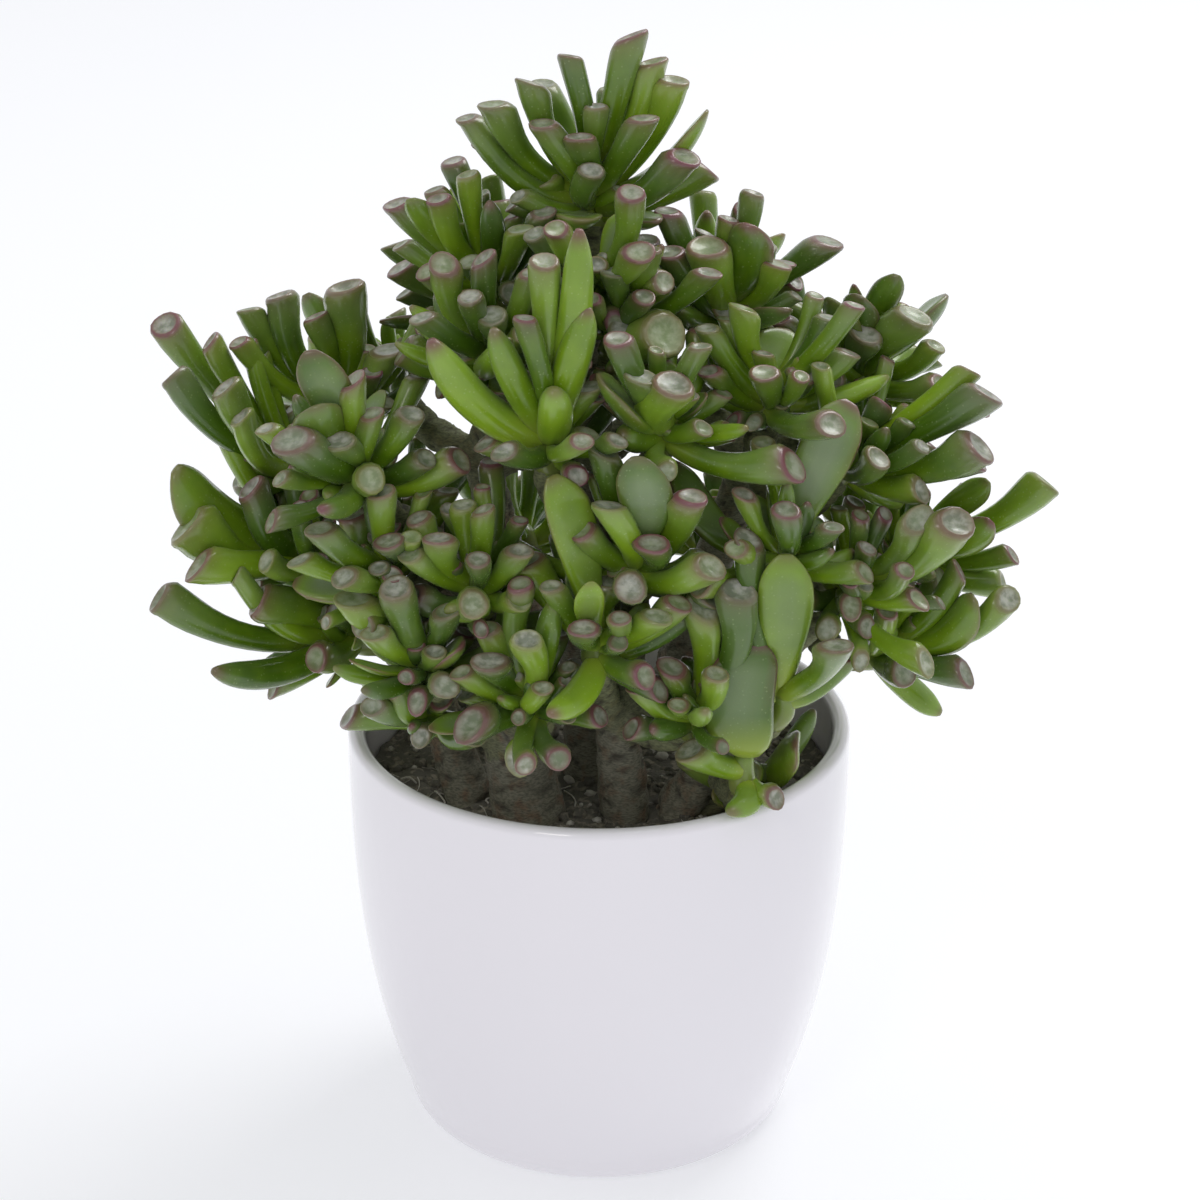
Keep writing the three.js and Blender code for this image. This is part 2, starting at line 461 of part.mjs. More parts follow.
function shootSolid(shoot, more) {
  return wasm.Manifold.union([stalkSolid(shoot, more), ...shoot.grown.map((leaf) => leafSolid(leaf, more))]);
}

// Room for a leaf: clear of every leaf of the other shoots, of its own shoot's leaves beyond their feet, of the
// stems and of the pot and soil.
const taken = [];
const segment = new THREE.Line3();
const nearest = new THREE.Vector3();
function hasRoom(balls) {
  return balls.every((ball) => {
    if (ball.at.z - ball.radius < soilTop + soilCrown + 1) return false;
    const fromAxis = Math.hypot(ball.at.x, ball.at.y);
    if (ball.at.z - ball.radius < potHeight + 1 && fromAxis > rimRadius - potWall - ball.radius - 2) return false;
    for (const other of taken) {
      if (other.shoot === ball.shoot && !(other.far && ball.far)) continue;
      if (other.at.distanceTo(ball.at) < other.radius + ball.radius + gap) return false;
    }
    return limbs.every((limb) => {
      segment.set(limb.from, limb.to).closestPointToPoint(ball.at, true, nearest);
      return !ball.far || nearest.distanceTo(ball.at) > Math.max(limb.start, limb.end) + ball.radius + gap;
    });
  });
}

for (const shoot of shoots) {
  shoot.grown = shoot.leaves.map((leaf) => leafOf(shoot, leaf));
  for (const leaf of shoot.grown) taken.push(...ballsOf(leaf, shoot.name));
}

// The leaves that follow the spiral: from the upright young ones in the middle to the open old ones, each tried a
// little round, then shorter, until it has room. The old ones are longer, and the sizes swing a little.
const fillKinds = ["trumpet", "trumpet", "tube", "spoon", "trumpet", "finger"];
const youngLength = 26;
const oldGain = 8;
const lengthSwing = 8;
const fillBreadth = 7.6;
const spoonBreadth = 11;
const breadthSwing = 1.3;
const nudges = [0, 14, -14, 28, -28];
const shortenings = [1, 0.8, 0.62];
shoots.forEach((shoot, order) => {
  const tilt = new THREE.Quaternion().setFromUnitVectors(new THREE.Vector3(0, 0, 1), shoot.heading);
  for (let i = 0; i < shoot.fill; i++) {
    const kind = fillKinds[(i + order) % fillKinds.length];
    const open = shoot.open * Math.sqrt((i + 0.6) / shoot.fill);
    const wanted = youngLength + lengthSwing * Math.sin(2.4 * i + order) + oldGain * (i / shoot.fill);
    const breadth = (kind === "spoon" ? spoonBreadth : fillBreadth) + breadthSwing * Math.sin(1.7 * i + 3 * order);
    search: for (const shorter of shortenings)
      for (const nudge of nudges) {
        const way = pointing(i * goldenTurn + 40 * order + nudge, open).applyQuaternion(tilt);
        const turn = THREE.MathUtils.radToDeg(Math.atan2(way.y, way.x));
        const lean = THREE.MathUtils.radToDeg(Math.acos(way.z));
        const leaf = leafOf(shoot, [kind, turn, lean, wanted * shorter, breadth]);
        const balls = ballsOf(leaf, shoot.name);
        if (!hasRoom(balls)) continue;
        shoot.grown.push(leaf);
        taken.push(...balls);
        break search;
      }
  }
});

// Outer line of the pot: an upright bowl shape, steep near the rim and turning in ever faster towards the foot.
const footStart = footDiameter / 2;
function outerRadius(height) {
  const share = height / potHeight;
  const rise = 1 - Math.pow(1 - share, sidePower);
  return footStart + (rimRadius - footStart) * rise;
}

// Heights at which the pot's inside and the soil each have a ring, from the soil's edge down, as shares of the
// pot's height: with the same rings the soil fits the pot whatever its curve.
const innerShares = [soilTop / potHeight, 0.6, 0.35, 0.2, 0.11];

// A line of radii and heights turned about the Z axis.
const turned = (line) => solidOf(new THREE.LatheGeometry(line, potSides).rotateX(Math.PI / 2));

function potSolid(more) {
  const [rim, wall] = [rimRadius + more, potWall + 2 * more];
  const outside = (share) => outerRadius(share * potHeight) + more;
  const stand = standDiameter / 2 + more;
  const bulge = outside(footRise / potHeight) - stand;
  const line = [new THREE.Vector2(0, -more), new THREE.Vector2(stand, -more)];
  for (const angle of [30, 60, 90])
    line.push(new THREE.Vector2(stand + bulge * Math.sin(radians(angle)), footRise * (1 - Math.cos(radians(angle)))));
  for (const share of [0.13, 0.21, 0.32, 0.46, 0.66])
    line.push(new THREE.Vector2(outside(share), share * potHeight));
  for (const angle of [0, 45, 90, 135, 180]) {
    const lip = new THREE.Vector2(Math.cos(radians(angle)), Math.sin(radians(angle))).multiplyScalar(wall / 2);
    line.push(lip.add(new THREE.Vector2(rim - wall / 2, potHeight + more - wall / 2)));
  }
  for (const share of innerShares)
    line.push(new THREE.Vector2(outside(share) - wall, share * potHeight));
  line.push(new THREE.Vector2(outside(potFloor / potHeight) - wall - floorCorner, potFloor + more));
  line.push(new THREE.Vector2(0, potFloor + more));
  return turned(line);
}

function soilSolid(more) {
  const inside = (height) => outerRadius(height) - potWall - 2 * gap + more;
  const line = [new THREE.Vector2(0, potFloor + gap - more)];
  line.push(new THREE.Vector2(inside(potFloor) - floorCorner, potFloor + gap - more));
  for (const share of innerShares.slice(1).reverse())
    line.push(new THREE.Vector2(inside(share * potHeight), share * potHeight));
  line.push(new THREE.Vector2(inside(soilTop), soilTop + more));
  line.push(new THREE.Vector2(inside(soilTop) * crownShoulder, soilTop + soilCrown * crownShare + more));
  line.push(new THREE.Vector2(0, soilTop + soilCrown + more));
  return turned(line);
}

// Pieces are made in order; each is cleared of the ones before it, with the gap between them.
const boxesMeet = (a, b) => [0, 1, 2].every((i) => a.min[i] < b.max[i] && b.min[i] < a.max[i]);
const earlier = [];
function clearOfEarlier(solid, grown) {
  let cleared = solid;
  for (const other of earlier)
    if (boxesMeet(other.boundingBox(), solid.boundingBox())) cleared = cleared.subtract(other);
  earlier.push(grown);
  return mainBody(cleared);
}

const plant = new THREE.Group();
plant.add(meshOf("pot", clearOfEarlier(potSolid(0), potSolid(gap)), glaze()));

const grownStems = Object.keys(stems).map((stem) => stemSolid(stem, gap));
const soil = grownStems.reduce((rest, stem) => rest.subtract(stem), soilSolid(0));
plant.add(meshOf("soil", mainBody(soil), pottingSoil()));

Object.keys(stems).forEach((stem, i) => {
  plant.add(meshOf(stem, clearOfEarlier(stemSolid(stem, 0), grownStems[i]), stemBark()));
});

earlier.push(soilSolid(gap));
for (const shoot of shoots)
  plant.add(meshOf(shoot.name, clearOfEarlier(shootSolid(shoot, 0), shootSolid(shoot, gap)), jadeLeaf()));

export default plant;
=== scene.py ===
import math
import bpy
import numpy as np
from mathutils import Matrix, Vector


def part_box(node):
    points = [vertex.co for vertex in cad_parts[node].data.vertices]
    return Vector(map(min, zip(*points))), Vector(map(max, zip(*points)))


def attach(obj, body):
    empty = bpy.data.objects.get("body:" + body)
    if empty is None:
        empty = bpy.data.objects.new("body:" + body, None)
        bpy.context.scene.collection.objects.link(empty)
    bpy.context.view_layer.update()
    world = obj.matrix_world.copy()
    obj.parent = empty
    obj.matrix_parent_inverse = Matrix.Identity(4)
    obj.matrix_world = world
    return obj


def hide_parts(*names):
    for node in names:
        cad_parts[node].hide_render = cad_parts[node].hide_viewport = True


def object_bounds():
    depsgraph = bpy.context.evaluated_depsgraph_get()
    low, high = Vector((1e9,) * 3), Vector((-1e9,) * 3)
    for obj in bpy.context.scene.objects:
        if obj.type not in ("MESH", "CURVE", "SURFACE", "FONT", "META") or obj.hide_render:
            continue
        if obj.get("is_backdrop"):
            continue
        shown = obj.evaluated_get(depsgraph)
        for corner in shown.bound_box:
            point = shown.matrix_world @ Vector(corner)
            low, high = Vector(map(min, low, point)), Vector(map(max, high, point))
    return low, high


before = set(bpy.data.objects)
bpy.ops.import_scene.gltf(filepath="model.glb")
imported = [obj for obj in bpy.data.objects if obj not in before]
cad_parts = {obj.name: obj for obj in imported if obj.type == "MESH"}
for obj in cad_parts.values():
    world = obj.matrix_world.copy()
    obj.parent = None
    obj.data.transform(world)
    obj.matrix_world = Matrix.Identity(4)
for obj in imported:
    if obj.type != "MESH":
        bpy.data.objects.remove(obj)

cadBox = [list(corner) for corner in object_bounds()]  # the CAD model's own box, in metres
mm = 0.001  # shapes are worked out in millimetres and scaled once, where they go into a mesh
potHigh = np.array(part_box("pot")[1]) / mm
rimRadius, potHeight = float(potHigh[0]), float(potHigh[2])
soilBelowRim = 17.0
soilTop = potHeight - soilBelowRim  # the soil at the wall, from which it rises to its crown in the middle
rng = np.random.default_rng(11)

# Camera: a long lens, looking down on the pot by about a quarter of a right angle
cameraSet = {
    "lens": 100.07, "sensor": 36.0, "distance": 950.0, "downAngle": 24.06, "aimSide": 0.3, "aimHeight": 160.6,
    "nearest": 0.05, "farthest": 50.0,
}


def makeCamera(s):
    # it stands off from the aim point, towards the front and up by downAngle
    down = math.radians(s["downAngle"])
    standOff = Vector((0.0, -math.cos(down), math.sin(down)))
    data = bpy.data.cameras.new("camera")
    data.lens, data.sensor_width = s["lens"], s["sensor"]
    data.clip_start, data.clip_end = s["nearest"], s["farthest"]
    camera = bpy.data.objects.new("camera", data)
    aim = Vector((s["aimSide"] * mm, 0.0, s["aimHeight"] * mm))
    camera.location = aim + standOff * (s["distance"] * mm)
    camera.rotation_euler = (-standOff).to_track_quat("-Z", "Y").to_euler()
    bpy.context.collection.objects.link(camera)
    bpy.context.scene.camera = camera


makeCamera(cameraSet)
print("camera set")

# Sums and meshes that every piece uses


def unitOf(vectors):
    return vectors / np.maximum(np.linalg.norm(vectors, axis=-1, keepdims=True), 1e-9)


def smoothStep(low, high, x):
    # 0 below low, 1 above high, with a level start and end between them
    t = np.clip((np.asarray(x, float) - low) / (high - low), 0.0, 1.0)
    return t * t * (3.0 - 2.0 * t)


def lineThrough(t, shares, values):
    # a smooth line through the values: cubics whose slopes come from the neighbouring values
    t, shares, values = np.asarray(t, float), np.asarray(shares, float), np.asarray(values, float)
    slopes = np.gradient(values, shares)
    i = np.clip(np.searchsorted(shares, t) - 1, 0, len(shares) - 2)
    wide = shares[i + 1] - shares[i]
    u = (t - shares[i]) / wide
    start = (1 + 2 * u) * (1 - u) ** 2 * values[i] + u * (1 - u) ** 2 * wide * slopes[i]
    return start + u * u * (3 - 2 * u) * values[i + 1] + u * u * (u - 1) * wide * slopes[i + 1]


def latticeNoise(x, y, cell, seed):
    # random heights at the corners of square cells, blended smoothly between them, from -1 to 1
    cells = 64  # the corners repeat after this many
    heights = np.random.default_rng(seed).uniform(-1.0, 1.0, (cells, cells))
    u, v = np.asarray(x) / cell, np.asarray(y) / cell
    i, j = np.floor(u).astype(int), np.floor(v).astype(int)
    a, b = smoothStep(0, 1, u - i), smoothStep(0, 1, v - j)
    corner = lambda along, across: heights[(i + along) % cells, (j + across) % cells]
    near = corner(0, 0) * (1 - a) + corner(1, 0) * a
    far = corner(0, 1) * (1 - a) + corner(1, 1) * a
    return near * (1 - b) + far * b


def closedGrids(points, foot, tip):
    # points is (grids, rows, columns, 3); each grid closes round on its columns, and foot and tip are the
    # single points that close its two ends. Gives the points of all grids and their faces, facing out where
    # the columns run anticlockwise about the way from foot to tip.
    grids, rows, columns = points.shape[:3]
    body = np.concatenate([points.reshape(grids, -1, 3), foot[:, None], tip[:, None]], axis=1)
    r, c = np.meshgrid(np.arange(rows - 1), np.arange(columns), indexing="ij")
    a, b = r * columns + c, r * columns + (c + 1) % columns
    quads = np.stack([a, b, b + columns, a + columns], axis=-1).reshape(-1, 4)
    ring, following = np.arange(columns), (np.arange(columns) + 1) % columns
    last, pole = (rows - 1) * columns, rows * columns
    footFan = np.stack([following, ring, np.full(columns, pole)], axis=-1)
    tipFan = np.stack([last + ring, last + following, np.full(columns, pole + 1)], axis=-1)
    shift = (np.arange(grids) * body.shape[1])[:, None, None]
    faces = [(block[None] + shift).reshape(-1, block.shape[-1]) for block in (quads, footFan, tipFan)]
    return body.reshape(-1, 3), [face for block in faces for face in block.tolist()]


def joined(parts):
    # one body of several (points, faces), whose faces then count on from the points before them
    faces, base = [], 0
    for points, own in parts:
        faces += [[base + corner for corner in face] for face in own]
        base += len(points)
    return np.concatenate([points for points, own in parts]), faces


def putMesh(name, points, faces, material, replaced, marks=None):
    # marks are one number per point each, which the material reads by name
    mesh = bpy.data.meshes.new(name)
    mesh.from_pydata((np.asarray(points) * mm).tolist(), [], faces)
    for mark, values in (marks or {}).items():
        attribute = mesh.attributes.new(mark, "FLOAT", "POINT")
        attribute.data.foreach_set("value", np.asarray(values, np.float32).ravel())
    mesh.polygons.foreach_set("use_smooth", np.ones(len(mesh.polygons), dtype=bool))
    mesh.materials.append(material)
    mesh.update()
    piece = bpy.data.objects.new(name, mesh)
    bpy.context.collection.objects.link(piece)
    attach(piece, "root")
    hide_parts(replaced)
    return piece


# Materials


def linear(hexColour):
    # sRGB hex to the linear colour that the shaders take
    parts = np.array([int(hexColour[i:i + 2], 16) for i in (1, 3, 5)]) / 255
    parts = np.where(parts <= 0.04045, parts / 12.92, ((parts + 0.055) / 1.055) ** 2.4)
    return (*parts.tolist(), 1.0)


def addNode(tree, kind, settings=None, values=None, links=None):
    # settings are the node's own choices, values go to its sockets, links give the output that feeds a socket
    node = tree.nodes.new(kind)
    for key, value in (settings or {}).items():
        setattr(node, key, value)
    for key, value in (values or {}).items():
        node.inputs[key].default_value = value
    for key, output in (links or {}).items():
        tree.links.new(output, node.inputs[key])
    return node


def newMaterial(name):
    material = bpy.data.materials.new(name)
    material.use_nodes = True
    material.node_tree.nodes.clear()
    return material, material.node_tree


def finishMaterial(tree, values, links):
    shader = addNode(tree, "ShaderNodeBsdfPrincipled", values=values, links=links)
    addNode(tree, "ShaderNodeOutputMaterial", links={"Surface": shader.outputs["BSDF"]})


# on such a Mix node socket 0 is the share, 6 and 7 are the colours, and output 2 is the mix
colourMix = {"data_type": "RGBA"}

glazeLook = {
    "white": "#F1EEF3", "roughness": 0.09, "ior": 1.5, "gloss": 0.3, "glossRoughness": 0.03,
    "rippleWidth": 38.0, "rippleHeight": 0.05,
}


def glazedWhiteware(s):
    # slip-cast earthenware under a clear gloss glaze: a hard even white with sharp reflections that wander
    # a little, because the glaze has run before it set
    material, tree = newMaterial("glazedWhiteware")
    place = addNode(tree, "ShaderNodeTexCoord")
    ripple = addNode(tree, "ShaderNodeTexNoise", values={"Scale": 1 / (s["rippleWidth"] * mm), "Detail": 1.0},
                     links={"Vector": place.outputs["Object"]})
    bump = addNode(tree, "ShaderNodeBump", values={"Strength": 1.0, "Distance": s["rippleHeight"] * mm},
                   links={"Height": ripple.outputs["Fac"]})
    finishMaterial(tree, {"Base Color": linear(s["white"]), "Roughness": s["roughness"], "IOR": s["ior"],
                          "Coat Weight": s["gloss"], "Coat Roughness": s["glossRoughness"]},
                   {"Normal": bump.outputs["Normal"]})
    return material


leafLook = {
    "deep": "#446407", "bright": "#89AB1F", "foot": "#A6B844", "blush": "#784650", "greyOfBloomAndSheen": "#8FA07C",
    "cup": "#7F8675", "cupPale": "#B9BAAF", "speck": "#B9CC8A", "stalk": "#7B8448",
    "patch": 9.0, "mottle": 2.4, "speckSpacing": 1.5, "pore": 0.7, "poreDepth": 0.05,
    "roughness": 0.27, "cupRoughness": 0.4, "ior": 1.42, "wax": 0.4, "waxRoughness": 0.16,
    "bloom": 0.15, "bloomRoughness": 0.4, "glow": 0.22, "glowDepth": 3.0, "glowReach": (0.55, 1.0, 0.18),
}


def jadeLeafSkin(s):
    # the wax-covered skin of a succulent leaf: satin, finely pored, with light that carries through the green
    # flesh;
    # paler at the foot, dotted with pale water pores, mauve where the sun has burnt its rim, grey with bloom
    # towards the tip, and grey on the upper face, where the grey is also a painted sheen of the light from
    # above
    material, tree = newMaterial("jadeLeafSkin")
    place = addNode(tree, "ShaderNodeTexCoord").outputs["Object"]
    marks = {name: addNode(tree, "ShaderNodeAttribute", {"attribute_name": name}).outputs["Fac"]
             for name in ("along", "blush", "bloom", "cup", "tone", "stalk")}
    patch = addNode(tree, "ShaderNodeTexNoise", values={"Scale": 1 / (s["patch"] * mm), "Detail": 3.0},
                    links={"Vector": place})
    lightness = addNode(tree, "ShaderNodeMath", {"operation": "MULTIPLY_ADD", "use_clamp": True}, {1: 0.7},
                        {0: patch.outputs["Fac"], 2: marks["tone"]})
    body = addNode(tree, "ShaderNodeMix", colourMix, {6: linear(s["deep"]), 7: linear(s["bright"])},
                   {0: lightness.outputs[0]})
    nearFoot = addNode(tree, "ShaderNodeMapRange",
                       values={"From Min": 0.02, "From Max": 0.4, "To Min": 0.75, "To Max": 0.0},
                       links={"Value": marks["along"]})
    footed = addNode(tree, "ShaderNodeMix", colourMix, {7: linear(s["foot"])},
                     {0: nearFoot.outputs["Result"], 6: body.outputs[2]})
    pores = addNode(tree, "ShaderNodeTexVoronoi", values={"Scale": 1 / (s["speckSpacing"] * mm)},
                    links={"Vector": place})
    specks = addNode(tree, "ShaderNodeMapRange",
                     values={"From Min": 0.08, "From Max": 0.22, "To Min": 0.22, "To Max": 0.0},
                     links={"Value": pores.outputs["Distance"]})
    specked = addNode(tree, "ShaderNodeMix", colourMix, {7: linear(s["speck"])},
                      {0: specks.outputs["Result"], 6: footed.outputs[2]})
    stalked = addNode(tree, "ShaderNodeMix", colourMix, {7: linear(s["stalk"])},
                      {0: marks["stalk"], 6: specked.outputs[2]})
    # partly painted light: the bloom's grey, and on the upper face the same grey as a painted sheen
    greyForBloomAndSheen = addNode(tree, "ShaderNodeMix", colourMix, {7: linear(s["greyOfBloomAndSheen"])},
                     {0: marks["bloom"], 6: stalked.outputs[2]})
    mottle = addNode(tree, "ShaderNodeTexNoise", values={"Scale": 1 / (s["mottle"] * mm), "Detail": 3.0},
                     links={"Vector": place})
    pallor = addNode(tree, "ShaderNodeMapRange", values={"From Min": 0.4, "From Max": 0.64},
                     links={"Value": mottle.outputs["Fac"]})
    disc = addNode(tree, "ShaderNodeMix", colourMix, {6: linear(s["cup"]), 7: linear(s["cupPale"])},
                   {0: pallor.outputs["Result"]})
    cupped = addNode(tree, "ShaderNodeMix", colourMix,
                     links={0: marks["cup"], 6: greyForBloomAndSheen.outputs[2], 7: disc.outputs[2]})
    blushed = addNode(tree, "ShaderNodeMix", colourMix, {7: linear(s["blush"])},
                      {0: marks["blush"], 6: cupped.outputs[2]})
    rough = addNode(tree, "ShaderNodeMapRange",
                    values={"To Min": s["roughness"], "To Max": s["cupRoughness"]},
                    links={"Value": marks["cup"]})
    grain = addNode(tree, "ShaderNodeTexNoise", values={"Scale": 1 / (s["pore"] * mm), "Detail": 2.0},
                    links={"Vector": place})
    bump = addNode(tree, "ShaderNodeBump", values={"Strength": 0.6, "Distance": s["poreDepth"] * mm},
                   links={"Height": grain.outputs["Fac"]})
    finishMaterial(tree, {"IOR": s["ior"], "Coat Weight": s["wax"], "Coat Roughness": s["waxRoughness"],
                          "Sheen Weight": s["bloom"], "Sheen Roughness": s["bloomRoughness"],
                          "Sheen Tint": linear(s["cupPale"]), "Subsurface Weight": s["glow"],
                          "Subsurface Radius": s["glowReach"], "Subsurface Scale": s["glowDepth"] * mm},
                   {"Base Color": blushed.outputs[2], "Roughness": rough.outputs["Result"],
                    "Normal": bump.outputs["Normal"]})
    return material


barkLook = {
    "bark": "#8F8D7B", "scarDarkAndGrooveShade": "#38342B", "red": "#84664F", "green": "#7C8453",
    "blotch": 5.0, "fibre": 1.1, "fibreDepth": 0.35, "squeeze": 2.6, "roughness": 0.78,
}


def succulentBark(s):
    # the corky skin of an old succulent stem: dull grey-brown with a fine grain whose grooves are darkened as
    # painted shade, reddish where it is young and green where the skin shows through, darker in the ring scars
    # that fallen leaves have left
    material, tree = newMaterial("succulentBark")
    place = addNode(tree, "ShaderNodeTexCoord").outputs["Object"]
    marks = {name: addNode(tree, "ShaderNodeAttribute", {"attribute_name": name}).outputs["Fac"]
             for name in ("scar", "young")}
    blotch = addNode(tree, "ShaderNodeTexNoise", values={"Scale": 1 / (s["blotch"] * mm), "Detail": 4.0},
                     links={"Vector": place})
    redness = addNode(tree, "ShaderNodeMapRange", values={"From Min": 0.5, "From Max": 0.68, "To Max": 0.75},
                      links={"Value": blotch.outputs["Fac"]})
    reddish = addNode(tree, "ShaderNodeMix", colourMix, {6: linear(s["bark"]), 7: linear(s["red"])},
                      {0: redness.outputs["Result"]})
    greened = addNode(tree, "ShaderNodeMix", colourMix, {7: linear(s["green"])},
                      {0: marks["young"], 6: reddish.outputs[2]})
    scarred = addNode(tree, "ShaderNodeMix", colourMix, {7: linear(s["scarDarkAndGrooveShade"])},
                      {0: marks["scar"], 6: greened.outputs[2]})
    squeeze = addNode(tree, "ShaderNodeMapping", values={"Scale": (1.0, 1.0, s["squeeze"])},
                      links={"Vector": place})
    fibre = addNode(tree, "ShaderNodeTexNoise", values={"Scale": 1 / (s["fibre"] * mm), "Detail": 4.0},
                    links={"Vector": squeeze.outputs["Vector"]})
    # painted shade: the low places of the fibre bump, its grooves, are darkened towards the dark colour
    paintedGrooveShade = addNode(tree, "ShaderNodeMapRange",
                       values={"From Min": 0.35, "From Max": 0.6, "To Min": 0.55, "To Max": 0.0},
                       links={"Value": fibre.outputs["Fac"]})
    grooveShaded = addNode(tree, "ShaderNodeMix", colourMix, {7: linear(s["scarDarkAndGrooveShade"])},
                     {0: paintedGrooveShade.outputs["Result"], 6: scarred.outputs[2]})
    bump = addNode(tree, "ShaderNodeBump", values={"Strength": 0.8, "Distance": s["fibreDepth"] * mm},
                   links={"Height": fibre.outputs["Fac"]})
    finishMaterial(tree, {"Roughness": s["roughness"]},
                   {"Base Color": grooveShaded.outputs[2], "Normal": bump.outputs["Normal"]})
    return material


soilLook = {
    "peat": "#68655B", "bark": "#979080", "fibre": "#E4E0D4", "grain": 0.9, "patch": 2.6, "depth": 0.7,
    "roughness": 0.92,
}


def pottingMix(s):
    # coarse peat and bark potting mix: dark and matt, with paler flecks of bark and pale fibres
    material, tree = newMaterial("pottingMix")
    place = addNode(tree, "ShaderNodeTexCoord").outputs["Object"]
    pale = addNode(tree, "ShaderNodeAttribute", {"attribute_name": "pale"}).outputs["Fac"]
    patch = addNode(tree, "ShaderNodeTexNoise", values={"Scale": 1 / (s["patch"] * mm), "Detail": 3.0},
                    links={"Vector": place})
    brown = addNode(tree, "ShaderNodeMapRange", values={"From Min": 0.52, "From Max": 0.66},
                    links={"Value": patch.outputs["Fac"]})
    mixed = addNode(tree, "ShaderNodeMix", colourMix, {6: linear(s["peat"]), 7: linear(s["bark"])},
                    {0: brown.outputs["Result"]})
    paled = addNode(tree, "ShaderNodeMix", colourMix, {7: linear(s["fibre"])},
                    {0: pale, 6: mixed.outputs[2]})
    grain = addNode(tree, "ShaderNodeTexNoise", values={"Scale": 1 / (s["grain"] * mm), "Detail": 4.0},
                    links={"Vector": place})
    bump = addNode(tree, "ShaderNodeBump", values={"Strength": 1.0, "Distance": s["depth"] * mm},
                   links={"Height": grain.outputs["Fac"]})
    finishMaterial(tree, {"Roughness": s["roughness"]},
                   {"Base Color": paled.outputs[2], "Normal": bump.outputs["Normal"]})
    return material


glaze = glazedWhiteware(glazeLook)
leafSkin = jadeLeafSkin(leafLook)
bark = succulentBark(barkLook)
mix = pottingMix(soilLook)
print("materials made")

# Pot: the same outline as the CAD pot, turned finely
potSet = {
    "footRadius": 54.0, "standRadius": 48.5, "footRise": 8.0, "sidePower": 2.8, "wall": 5.0, "floor": 7.0,
    "floorCorner": 6.0, "recess": 1.5, "recessRadius": 42.0,
    "columns": 192, "edgeRows": 12, "sideRows": 34, "lipRows": 15, "innerRows": 22, "cornerRows": 6,
}


def sideRadius(height, s):
    # the side turns in from the rim to the foot as the sidePower of the distance up from the foot
    return s["footRadius"] + (rimRadius - s["footRadius"]) * (1 - (1 - height / potHeight) ** s["sidePower"])


def makePot(s):
    # profile points (radius, height) from under the foot, up the outside, over the lip and down the inside; a
    # quarter of an ellipse rounds the side into the ring that the pot stands on
    wall, stand, rise = s["wall"], s["standRadius"], s["footRise"]
    turn = np.radians(np.linspace(0, 90, s["edgeRows"]))
    recess, recessTop = s["recessRadius"], s["recess"]
    under = [(recess - 2, recessTop), (recess, recessTop), (recess + 1, 0.3), (recess + 2.5, 0.0),
             (stand - 0.8, 0.0)]
    edge = [(stand + (sideRadius(rise, s) - stand) * math.sin(a), rise * (1 - math.cos(a))) for a in turn]
    heights = np.linspace(rise + 2, potHeight - wall / 2 - 0.6, s["sideRows"])
    side = [(sideRadius(h, s), h) for h in heights]
    lipMiddle = (rimRadius - wall / 2, potHeight - wall / 2)
    lip = [(lipMiddle[0] + wall / 2 * math.cos(a), lipMiddle[1] + wall / 2 * math.sin(a))
           for a in np.radians(np.linspace(0, 180, s["lipRows"]))]
    low, corner = s["floor"], s["floorCorner"]
    innerHeights = np.linspace(potHeight - wall / 2 - 1, low + corner, s["innerRows"])
    inside = [(sideRadius(h, s) - wall, h) for h in innerHeights]
    inCorner = sideRadius(low, s) - wall - corner
    well = [(inCorner + corner * math.cos(a), low + corner * (1 - math.sin(a)))
            for a in np.radians(np.linspace(0, 90, s["cornerRows"]))][1:]
    line = np.array(under + edge + side + lip + inside + well)
    angle = np.linspace(0, 2 * math.pi, s["columns"], endpoint=False)
    points = np.stack([line[:, None, 0] * np.cos(angle), line[:, None, 0] * np.sin(angle),
                       np.broadcast_to(line[:, None, 1], (len(line), s["columns"]))], axis=-1)
    ends = [np.array([[0.0, 0.0, h]]) for h in (s["recess"], s["floor"])]
    body, faces = closedGrids(points[None], *ends)
    return putMesh("coverPot", body, faces, glaze, "pot")


makePot(potSet)
print("pot made")

# Plant: the stems' joints and the shoots that stand on them, in millimetres above the soil at the wall.
# Each joint is (name, parent joint, x, y, height, radius).
stemJoints = {
    "stem_large": [
        ("foot", None, -20, -29, 0, 10.5),
        ("fork", "foot", -24, -31, 28, 8.5),
        ("left", "fork", -38, -28, 52, 6),
        ("high", "left", -42, -22, 82, 5.5),
        ("front", "fork", -22, -40, 36, 5),
    ],
    "stem_left": [
        ("foot", None, -37, -19, 0, 7),
        ("bend", "foot", -46, -10, 26, 5.5),
        ("out", "bend", -60, -4, 58, 5),
    ],
    "stem_front": [
        ("foot", None, 7, -30, 0, 7),
        ("fork", "foot", 5, -33, 34, 6),
        ("high", "fork", 2, -30, 82, 5),
    ],
    "stem_right": [
        ("foot", None, 22, -26, 0, 6.5),
        ("bend", "foot", 33, -30, 18, 5.8),
        ("fork", "bend", 44, -28, 46, 5.2),
        ("high", "fork", 50, -22, 84, 4.8),
    ],
    "stem_middle": [
        ("foot", None, -2, -6, 0, 8),
        ("fork", "foot", -6, -2, 95, 7),
        ("high", "fork", -5, 2, 138, 5.5),
    ],
    "stem_back_right": [
        ("foot", None, 18, 18, 0, 8),
        ("fork", "foot", 30, 22, 45, 6.5),
        ("high", "fork", 42, 22, 85, 5.2),
        ("out", "fork", 58, 10, 48, 5),
    ],
    "stem_back_left": [
        ("foot", None, -20, 20, 0, 8),
        ("fork", "foot", -24, 30, 42, 6.5),
        ("high", "fork", -34, 30, 85, 5.2),
    ],
}

